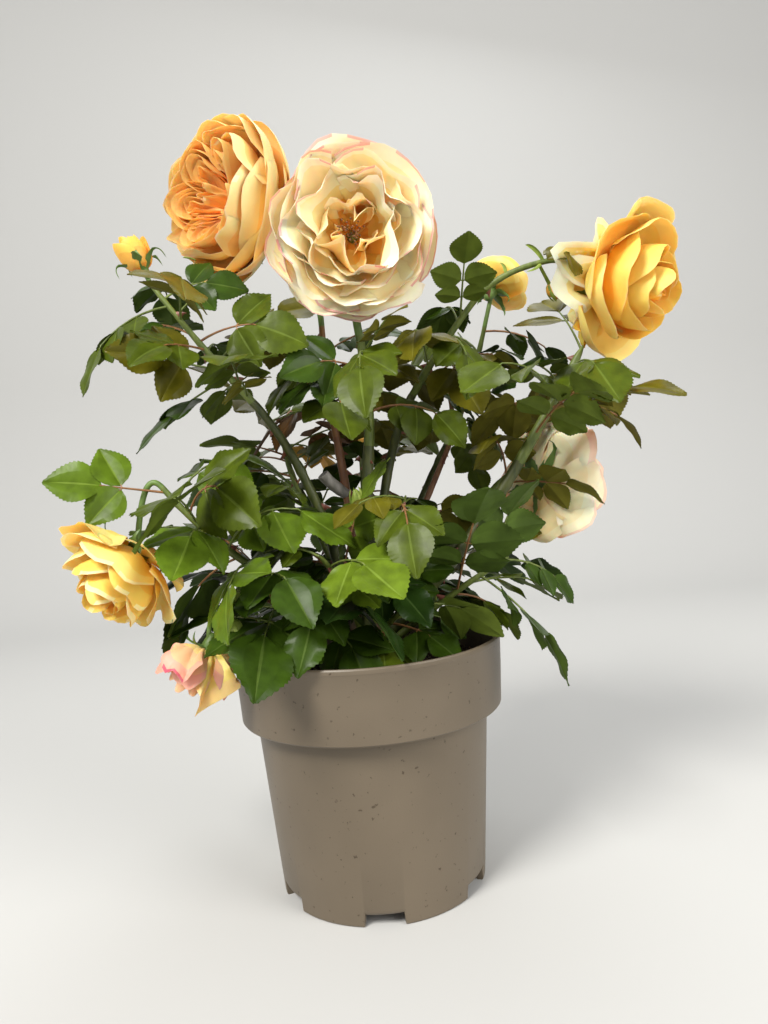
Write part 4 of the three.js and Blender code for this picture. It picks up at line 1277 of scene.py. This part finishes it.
# The spiral of a form of bloom: how many petals, how far out the innermost one is, the height of
# the innermost and outermost rims, their half widths, the ruffle, the curl, and the share of the
# outermost rim that is tinged.
SPIRALS = {
    "high": (20, 0.06, (0.86, 0.45), (105, 62), 0.032, 0.19, 0.0),
    "cup": (25, 0.07, (0.7, 0.5), (100, 48), 0.065, 0.27, 0.9),
    "wilted": (16, 0.1, (0.9, 0.8), (90, 34), 0.1, 0.08, 0.0),
    "bud": (9, 0.2, (0.95, 0.96), (95, 70), 0.01, 0, 0.0),
}


def spiral_petals(form, draw):
    """Petals wrapped round each other by the golden angle, from the heart outwards. The rim climbs
    from its first height to 1 and sinks to its last."""
    count, tight, rim, widths, ruffle, curl, tinged = SPIRALS[form]
    petals = []
    for i in range(count):
        t = i / (count - 1)
        out = tight + (0.98 - tight) * t**1.2
        high = rim[0] + (1 - rim[0]) * min(1, 3 * t) - (1 - rim[1]) * t**2.2
        petals.append({
            "azimuth": radians(i * GOLDEN_ANGLE + draw(-12, 12)),
            "width": between(*widths, t**0.6) * draw(0.9, 1.1),
            "pull": (out * (1.4 - 0.35 * t), 0.4 * (1 - t) ** 1.3),
            "end": (out * draw(0.92, 1.02), high * draw(0.9, 1.05)),
            "curl": curl * t**2,
            "ruffle": ruffle * (0.4 + 0.6 * t),
            "crumple": 0.05 + 0.09 * t,
            "rounding": 0.26,
            "zones": (0, 2) if form == "bud" else (round(2 * t), 2 + round(2 * t)),
            "rim": tinged * t,
            "cupped": 0.9 - 0.8 * t,
        })
    return petals


QUARTERS = 5
QUARTER_HEART = 0.37
QUARTER_REACHES = [0.27, 0.215, 0.16, 0.105, 0.05]
HEART_PETALS = 3


def quarter_petals(draw):
    """Small petals nested round the hearts of five quarters, and a few in the middle."""
    petals = []
    for turn in circle(QUARTERS):
        side = turn + draw(-0.15, 0.15)
        for k, out in enumerate(QUARTER_REACHES):
            petals.append({
                "azimuth": side + draw(-0.25, 0.25),
                "heart": polar(QUARTER_HEART, side, 0)[:2],
                "width": 118,
                "foot": (0.05, 0.25),
                "pull": (out * 1.2, 0.5),
                "end": (out, 1.0 - 0.05 * k + draw(-0.04, 0.04)),
                "curl": 0.03,
                "ruffle": 0.03,
                "crumple": 0.06,
                "zones": (0, 3),
            })
    heart = {"width": 70, "pull": (0.12, 0.5), "end": (0.09, 0.9), "curl": 0, "ruffle": 0.03}
    return petals + [{**heart, "azimuth": 2.1 * i, "zones": (0, 3)} for i in range(HEART_PETALS)]


# Petals beside the rings and spirals, by bloom: at the right one stands up, one hangs and
# crumpled pale ones lie behind, and the rear and low blooms hold out their outer petals.
LOOSE_PARTS = "azimuth width pull end curl zones crumple".split()
LOOSE_PETALS = {
    "bloom_right": [
        (262, 27, (0.98, 0.0), (1.08, 0.5), -0.02, (4, 5), 0.16),
        (70, 24, (0.7, -0.05), (0.98, 0.12), 0.02, (1, 3), 0.14),
        (335, 44, (0.7, -0.2), (0.8, 0.06), 0.16, (2, 6), 0.5),
        (20, 46, (0.68, -0.22), (0.84, -0.02), 0.16, (3, 6), 0.5),
    ],
    "bloom_rear_right": [
        (20, 44, (0.95, -0.05), (0.98, 0.4), 0.22, (2, 4), 0.2),
        (95, 44, (0.98, -0.05), (1.0, 0.34), 0.2, (1, 3), 0.2),
        (170, 46, (0.95, -0.05), (1.0, 0.42), 0.24, (2, 5), 0.2),
        (250, 44, (0.96, -0.05), (1.0, 0.36), 0.22, (3, 4), 0.2),
        (320, 44, (0.94, -0.05), (1.02, 0.42), 0.2, (2, 5), 0.2),
    ],
    "bloom_low_left": [
        (60, 42, (0.95, -0.05), (1.04, 0.4), 0.2, (3, 4), 0.2),
        (180, 44, (0.96, -0.05), (1.06, 0.36), 0.22, (3, 4), 0.2),
        (270, 46, (1.0, -0.05), (1.06, 0.46), 0.24, (3, 4), 0.2),
        (340, 42, (0.95, -0.05), (1.06, 0.42), 0.22, (3, 4), 0.2),
    ],
    "bloom_faded": [
        (40, 40, (0.9, 0.0), (1.1, 0.8), 0.1, (1, 4), 0.6),
        (150, 36, (0.9, 0.0), (1.0, 1.0), 0.0, (0, 2), 0.6),
        (230, 40, (0.9, 0.0), (1.1, 0.7), 0.1, (2, 4), 0.6),
    ],
}


def loose_petals(name):
    petals = []
    for compass, *row in LOOSE_PETALS.get(name, []):
        petal = dict(zip(LOOSE_PARTS, (radians(compass), *row)))
        petals.append({**petal, "ruffle": 0.05, "cupped": 0.2, "rounding": 0.24})
    return petals


def petals_of(name, flower, draw):
    if flower.form == "open":
        petals = ring_petals(OPEN_RINGS, draw)
    elif flower.form == "full":
        petals = ring_petals(QUARTERED_RINGS, draw) + quarter_petals(draw)
    else:
        petals = spiral_petals(flower.form, draw)
    return petals + loose_petals(name)


def swelling(low, high, start, t):
    """A radius that swells from low towards high in the middle, by a sine arch cut off at start."""
    return between(low, high, sin(pi * between(start, 1 - start, t)))


STAMENS = 46


def add_stamens(mesh, flower, paint, draw):
    """Threads with knobbed tips, spread round the heart of an open bloom."""
    for _ in range(STAMENS):
        a, out = draw(0, 6.28), flower.radius * draw(0.02, 0.17)
        foot = flower.point(out * 0.5, a, flower.depth * 0.3)
        tip = flower.point(out, a, flower.depth * draw(0.5, 0.62))
        add_tube(mesh, (foot, mix(foot, tip, 0.6), tip), lambda t: 0.3, paint, sides=4, steps=2)
        knob = [onward(tip, flower.axis, far) for far in (0, 0.8, 1.8)]
        add_tube(mesh, knob, lambda t: swelling(0.35, 0.9, 0.15, t), paint + 1, sides=6, steps=3)


def add_sepals(mesh, flower, paint, draw):
    """Five narrow sepals. They clasp a bud, and spread and bend back behind an open bloom."""
    bud = flower.form == "bud"
    foot = 2.5
    for turn in circle(5):
        a = turn + 0.4 + draw(-0.15, 0.15)
        reach = flower.radius * (1.5 if bud else draw(0.55, 0.82))
        drop = flower.depth * (draw(-0.05, 0.2) if bud else -draw(0.05, 0.34))
        half = 2.2 if bud else 0.05 * flower.radius + 1.2
        lift = flower.depth * (0.35 if bud else 0.06)
        lobe = draw(0.25, 0.5)
        bend = draw(-0.25, 0.25)

        def place(t, s):
            w = half * (1 - t) ** 0.75 * (1 + 1.3 * exp(-(((t - 0.22) / 0.16) ** 2)))
            w += half * 0.55 * exp(-(((t - lobe - 0.2) / 0.05) ** 2))
            out = foot + (reach - foot) * sin(1.7 * t) / sin(1.7)
            along = drop * t**1.6 + lift * sin(pi * t)
            angle = a + bend * t * t + atan2(s * w + 0.001, max(foot, out))
            return flower.point(out, angle, along - 0.6 * (1 - abs(s)))

        add_sheet(mesh, 13, 5, place, (paint, paint))


# The rows of a hip, in shares of its size: how far out and how far along the stalk
HIP_ROWS = [(0.35, -2.1), (0.7, -1.6), (0.95, -0.9), (1.06, -0.2), (0.92, 0.4), (0.6, 0.9)]


def add_hip(mesh, flower, paint):
    """The swelling under the petals."""
    size = 3.2 if flower.form == "bud" else 5.2
    sides = 14
    rows = [(out * size, along * size) for out, along in HIP_ROWS]
    points = [flower.point(out, a, along) for out, along in rows for a in circle(sides)]
    faces = grid_faces(len(rows), sides, closed=True)
    faces += [*turned_faces([cap(0, sides)]), cap(len(points) - sides, sides)]
    mesh.add(points, faces, paint)


def make_blooms():
    green = varied("calyx", (0.1, 0.17, 0.032), roughness=0.5, scale=120, share=0.3)
    thread = shader("stamen_thread", (0.55, 0.22, 0.03), roughness=0.6)[0]
    knob = varied("stamen_knob", (0.16, 0.06, 0.015), roughness=0.7, scale=200, share=0.4)
    tints = {tint: petal_materials(tint) for tint in PETAL_TINTS}
    for number, (name, flower) in enumerate(FLOWERS.items()):
        draw = random_from(900 + number * 13)
        mesh = Mesh()
        for petal in petals_of(name, flower, draw):
            add_petal(mesh, flower, petal, draw)
        petals = tints[flower.tint]
        calyx = len(petals)
        add_sepals(mesh, flower, calyx, draw)
        add_hip(mesh, flower, calyx)
        if flower.form == "open":
            add_stamens(mesh, flower, calyx + 1, draw)
        limb = LIMBS[name]
        path = limb.sunk(STEM_SINK)
        add_tube(mesh, path, limb.radius, calyx, sides=10, steps=16, relief=bark_relief(0.12))
        mesh.piece(name + "_petals", [*petals, green, thread, knob], flower.tint + "_petal", [name])


# Pot and compost
def outer_radius(height):
    if height >= COLLAR_FOOT:
        return between(COLLAR_RADIUS, RIM_RADIUS, (height - COLLAR_FOOT) / COLLAR_HEIGHT)
    return between(BASE_RADIUS, NECK_RADIUS, height / COLLAR_FOOT)


def pot_columns():
    """The angles of the pot's columns, and whether each is in a notch: even ones, and two at each
    side of a notch."""
    half = NOTCH_WIDTH / 2 / BASE_RADIUS
    middles = [turn - TURN / 4 for turn in circle(NOTCHES)]
    angles = set(circle(144))
    for middle in middles:
        for edge in (-half, half):
            angles |= {(middle + edge + step) % TURN for step in (-0.012, 0.012)}

    def notched(a):
        return any(abs((a - m + pi) % TURN - pi) < half for m in middles)

    return [(a, notched(a)) for a in sorted(angles)]


POT_COLOUR = (0.135, 0.106, 0.072)
POT_DARK = (0.12, 0.094, 0.063)
POT_LIGHT = (0.152, 0.12, 0.082)


def pot_material():
    """Taupe plastic with a faint cloud in its colour and fine specks of dirt."""
    material, tree, principled = shader("pot_plastic", POT_COLOUR, 0.42, Specular_IOR_Level=0.4)
    tone = ramp(tree, noise_node(tree, scale=9, detail=3), [(0.3, POT_DARK), (0.7, POT_LIGHT)])
    specks = noise_node(tree, scale=260, detail=2)
    dirt = ramp(tree, specks, [(0.68, (1, 1, 1)), (0.75, (0.45, 0.4, 0.34))])
    dusted = tree.nodes.new("ShaderNodeMix")
    dusted.data_type = "RGBA"
    dusted.blend_type = "MULTIPLY"
    sockets = {socket.identifier: socket for socket in [*dusted.inputs, *dusted.outputs]}
    sockets["Factor_Float"].default_value = 1
    tree.links.new(tone, sockets["A_Color"])
    tree.links.new(dirt, sockets["B_Color"])
    tree.links.new(sockets["Result_Color"], principled.inputs["Base Color"])
    bump(tree, principled, noise_node(tree, scale=900, detail=3), strength=0.25, distance=0.0002)
    return material


POT_SHARP_ANGLE = 32

# The step under the collar, as radii and heights over its foot, and the round of the lip, as how
# far out and up from the rim each row lies
COLLAR_STEP = [
    (outer_radius(COLLAR_FOOT - 3) + 0.5, -3),
    (COLLAR_RADIUS - 3, -2.2),
    (COLLAR_RADIUS - 0.8, -1.8),
    (COLLAR_RADIUS, -0.8),
    (COLLAR_RADIUS + 0.1, 1),
    (outer_radius(COLLAR_FOOT + 28), 28),
]
LIP = [(0, -3.4), (0.1, -1.2), (-0.5, -0.2), (-1.4, 0), (-2.4, -0.2), (-2.9, -1.2)]


def pot_rows():
    """The turned outline of the pot: from the hub under its floor, out over its foot, up its
    outside, over its lip and down its inside. A row of its foot lifts where a notch leads out."""
    foot = BASE_RADIUS - 2 * WALL
    under = [(0, 0), (HUB_RADIUS - 1, 0), (HUB_RADIUS, 0.6), (HUB_RADIUS + WALL, FLOOR_RISE)]
    lifted = [(foot, 0.4), (foot + 0.5, 0), (BASE_RADIUS - 0.9, 0), (BASE_RADIUS, 0.9)]
    outside = [(outer_radius(h), h) for h in (12, 60, COLLAR_FOOT - 7, COLLAR_FOOT - 4)]
    outside += [(r, COLLAR_FOOT + h) for r, h in COLLAR_STEP]
    outside.append((outer_radius(POT_HEIGHT - 5) - 0.4, POT_HEIGHT - 5))
    outside.append((outer_radius(POT_HEIGHT - 4), POT_HEIGHT - 4.2))
    lip = [(RIM_RADIUS + out, POT_HEIGHT + up) for out, up in LIP]
    heights = (POT_HEIGHT - 20, COLLAR_FOOT + WALL, COLLAR_FOOT - WALL, 80, 40, FLOOR_RISE + WALL)
    inside = [(outer_radius(h) - WALL, h) for h in heights]
    rows = [*under, (foot, FLOOR_RISE), *lifted, *outside, *lip, *inside, (0, FLOOR_RISE + WALL)]
    return [(r, h, (r, h) in lifted) for r, h in rows]


def make_pot():
    """The pot as one turned skin, welded where its rows meet in the middle."""
    rows = pot_rows()
    columns = pot_columns()
    points = []
    for r, h, lifted in rows:
        for a, notched in columns:
            points.append(polar(r, a, h + NOTCH_HEIGHT if lifted and notched else h))
    mesh = Mesh()
    mesh.add(points, grid_faces(len(rows), len(columns), closed=True), 0)
    pot = mesh.piece("pot_shell", [pot_material()], "pot", ["pot"])
    shape = bmesh.new()
    shape.from_mesh(pot.data)
    bmesh.ops.remove_doubles(shape, verts=shape.verts, dist=1e-6)
    shape.to_mesh(pot.data)
    shape.free()
    pot.data.set_sharp_from_angle(angle=radians(POT_SHARP_ANGLE))


COMPOST_GAP = 0.4
COMPOST_SINK = 14
CRUMBS = 520


def compost_material():
    material, tree, principled = shader("compost_fibre", (0.06, 0.035, 0.02), 0.95)
    factor = noise_node(tree, scale=420, detail=6)
    stops = [(0.3, (0.018, 0.011, 0.007)), (0.52, (0.062, 0.036, 0.02)), (0.75, (0.16, 0.1, 0.055))]
    tree.links.new(ramp(tree, factor, stops), principled.inputs["Base Color"])
    bump(tree, principled, factor, strength=0.9, distance=0.002)
    return material


def add_crumbs(mesh, reach, draw):
    """Crumbs of compost, of which every fourth is a long fibre and some are pale."""
    for k in range(CRUMBS):
        a, out = draw(0, 6.28), reach * sqrt(draw())
        centre = polar(out, a, SOIL_HEIGHT + draw(-0.6, 1.6))
        heading = unit((draw(-1, 1), draw(-1, 1), draw(-0.3, 0.3)))
        fibre = k % 4 == 0
        size = draw(4, 10) if fibre else draw(1.2, 3.2)
        bent = onward(centre, UP, draw(-0.8, 0.8))
        path = (onward(centre, heading, -size / 2), bent, onward(centre, heading, size / 2))
        thick = draw(0.35, 0.8) if fibre else size * draw(0.32, 0.5)
        paint = int(draw() < 0.3)
        add_tube(mesh, path, lambda t: thick * swelling(0.35, 1, 0.08, t), paint, sides=5, steps=3)


def make_compost():
    """A lumpy top of compost with crumbs and fibres on it, down to below the pot's rim."""
    mesh = Mesh()
    wall = outer_radius(SOIL_HEIGHT) - WALL - COMPOST_GAP
    rings, sides = 40, 96
    points = []
    for i in range(rings + 1):
        out = wall * i / rings
        for a in circle(sides):
            x, y, _ = polar(out, a, 0)
            lumps = 2.6 * noise.noise(Vector((x, y, 0)) * 0.06)
            lumps += 1.4 * noise.noise(Vector((x, y, 9)) * 0.19)
            points.append((x, y, SOIL_HEIGHT - SOIL_DIP * (i / rings) ** 3 + lumps - 0.6))
    points += [polar(wall, a, SOIL_HEIGHT - COMPOST_SINK) for a in circle(sides)]
    faces = grid_faces(rings + 2, sides, closed=True)
    mesh.add(points, turned_faces([*faces, cap((rings + 1) * sides, sides)]), 0)
    add_crumbs(mesh, wall - 4, random_from(77))
    pale = varied("compost_chip", (0.19, 0.12, 0.065), roughness=0.9, scale=300, share=0.4)
    mesh.piece("compost_top", [compost_material(), pale], "compost", ["compost"])


# Stage, light and camera. These places are in metres.
STAGE_FRONT = -4.0
STAGE_BEND = 1.2
STAGE_BEND_RADIUS = 0.7
STAGE_HEIGHT = 4.0
STAGE_HALF_WIDTH = 6.0
STAGE_PAINT = (0.5, 0.5, 0.487)


def make_stage():
    """A floor that bends up behind the plant."""
    material, _, _ = shader("stage_paint", STAGE_PAINT, 0.85)
    profile = [(STAGE_FRONT, 0.0), (STAGE_BEND, 0.0)]
    for a in np.linspace(0.15, pi / 2, 12):
        back = STAGE_BEND + STAGE_BEND_RADIUS * sin(a)
        profile.append((back, STAGE_BEND_RADIUS - STAGE_BEND_RADIUS * cos(a)))
    profile.append((STAGE_BEND + STAGE_BEND_RADIUS, STAGE_HEIGHT))
    points = [(x, y, z) for y, z in profile for x in (-STAGE_HALF_WIDTH, STAGE_HALF_WIDTH)]
    data = bpy.data.meshes.new("stage_sweep")
    data.from_pydata(points, [], grid_faces(len(profile), 2))
    data.materials.append(material)
    data.polygons.foreach_set("use_smooth", [True] * len(data.polygons))
    placed("stage_sweep", data)


# A light: its name, its place, what it points at, its size, its power and its colour
LIGHTS = [
    ("key", (-1.1, -1.5, 2.1), (0, 0, 0.35), 1.0, 86, (1, 0.975, 0.93)),
    ("fill", (1.7, -1.3, 1.2), (0, 0, 0.3), 1.4, 38, (1, 0.98, 0.95)),
    ("back", (0.4, 1.0, 2.2), (0, 0, 0.4), 1.4, 16, (0.97, 0.99, 1)),
]
ROOM_COLOUR = (0.985, 0.985, 1.0, 1)
ROOM_STRENGTH = 0.54


def make_lights():
    world = bpy.data.worlds.new("soft_room")
    world.use_nodes = True
    background = next(node for node in world.node_tree.nodes if node.type == "BACKGROUND")
    background.inputs["Color"].default_value = ROOM_COLOUR
    background.inputs["Strength"].default_value = ROOM_STRENGTH
    bpy.context.scene.world = world
    for name, place, target, size, power, colour in LIGHTS:
        data = bpy.data.lights.new(name, "AREA")
        data.shape = "DISK"
        data.size = size
        data.energy = power
        data.color = colour
        light = placed(name, data)
        light.location = place
        light.rotation_euler = (Vector(target) - Vector(place)).to_track_quat("-Z", "Y").to_euler()


# The camera stands before the pot at about the height of the lower leaves, and leans a little.
# Its place is in millimetres and its angles are in degrees.
CAMERA_PLACE = (21.0, -607.4, 313.1)
CAMERA_PITCH = 2.4
CAMERA_ROLL = 4.4
FOCAL_SHARE = 770 / 1024
SENSOR = 36
CLIP_START = 0.01


def make_camera():
    data = bpy.data.cameras.new("camera")
    data.sensor_width = SENSOR
    data.lens = FOCAL_SHARE * SENSOR
    data.clip_start = CLIP_START
    camera = placed("camera", data)
    pitch = Euler((radians(90 - CAMERA_PITCH), 0, 0)).to_matrix()
    roll = Matrix.Rotation(radians(-CAMERA_ROLL), 3, "Z")
    camera.rotation_euler = (pitch @ roll).to_euler()
    camera.location = [c * MM for c in CAMERA_PLACE]
    bpy.context.scene.camera = camera


make_camera()
make_stage()
make_lights()
bpy.context.scene.view_settings.view_transform = "Standard"
crown = grow_crown()
make_pot()
make_compost()
make_rootstock()
make_canes()
make_stems(crown)
make_buds()
make_leaves(crown)
make_blooms()
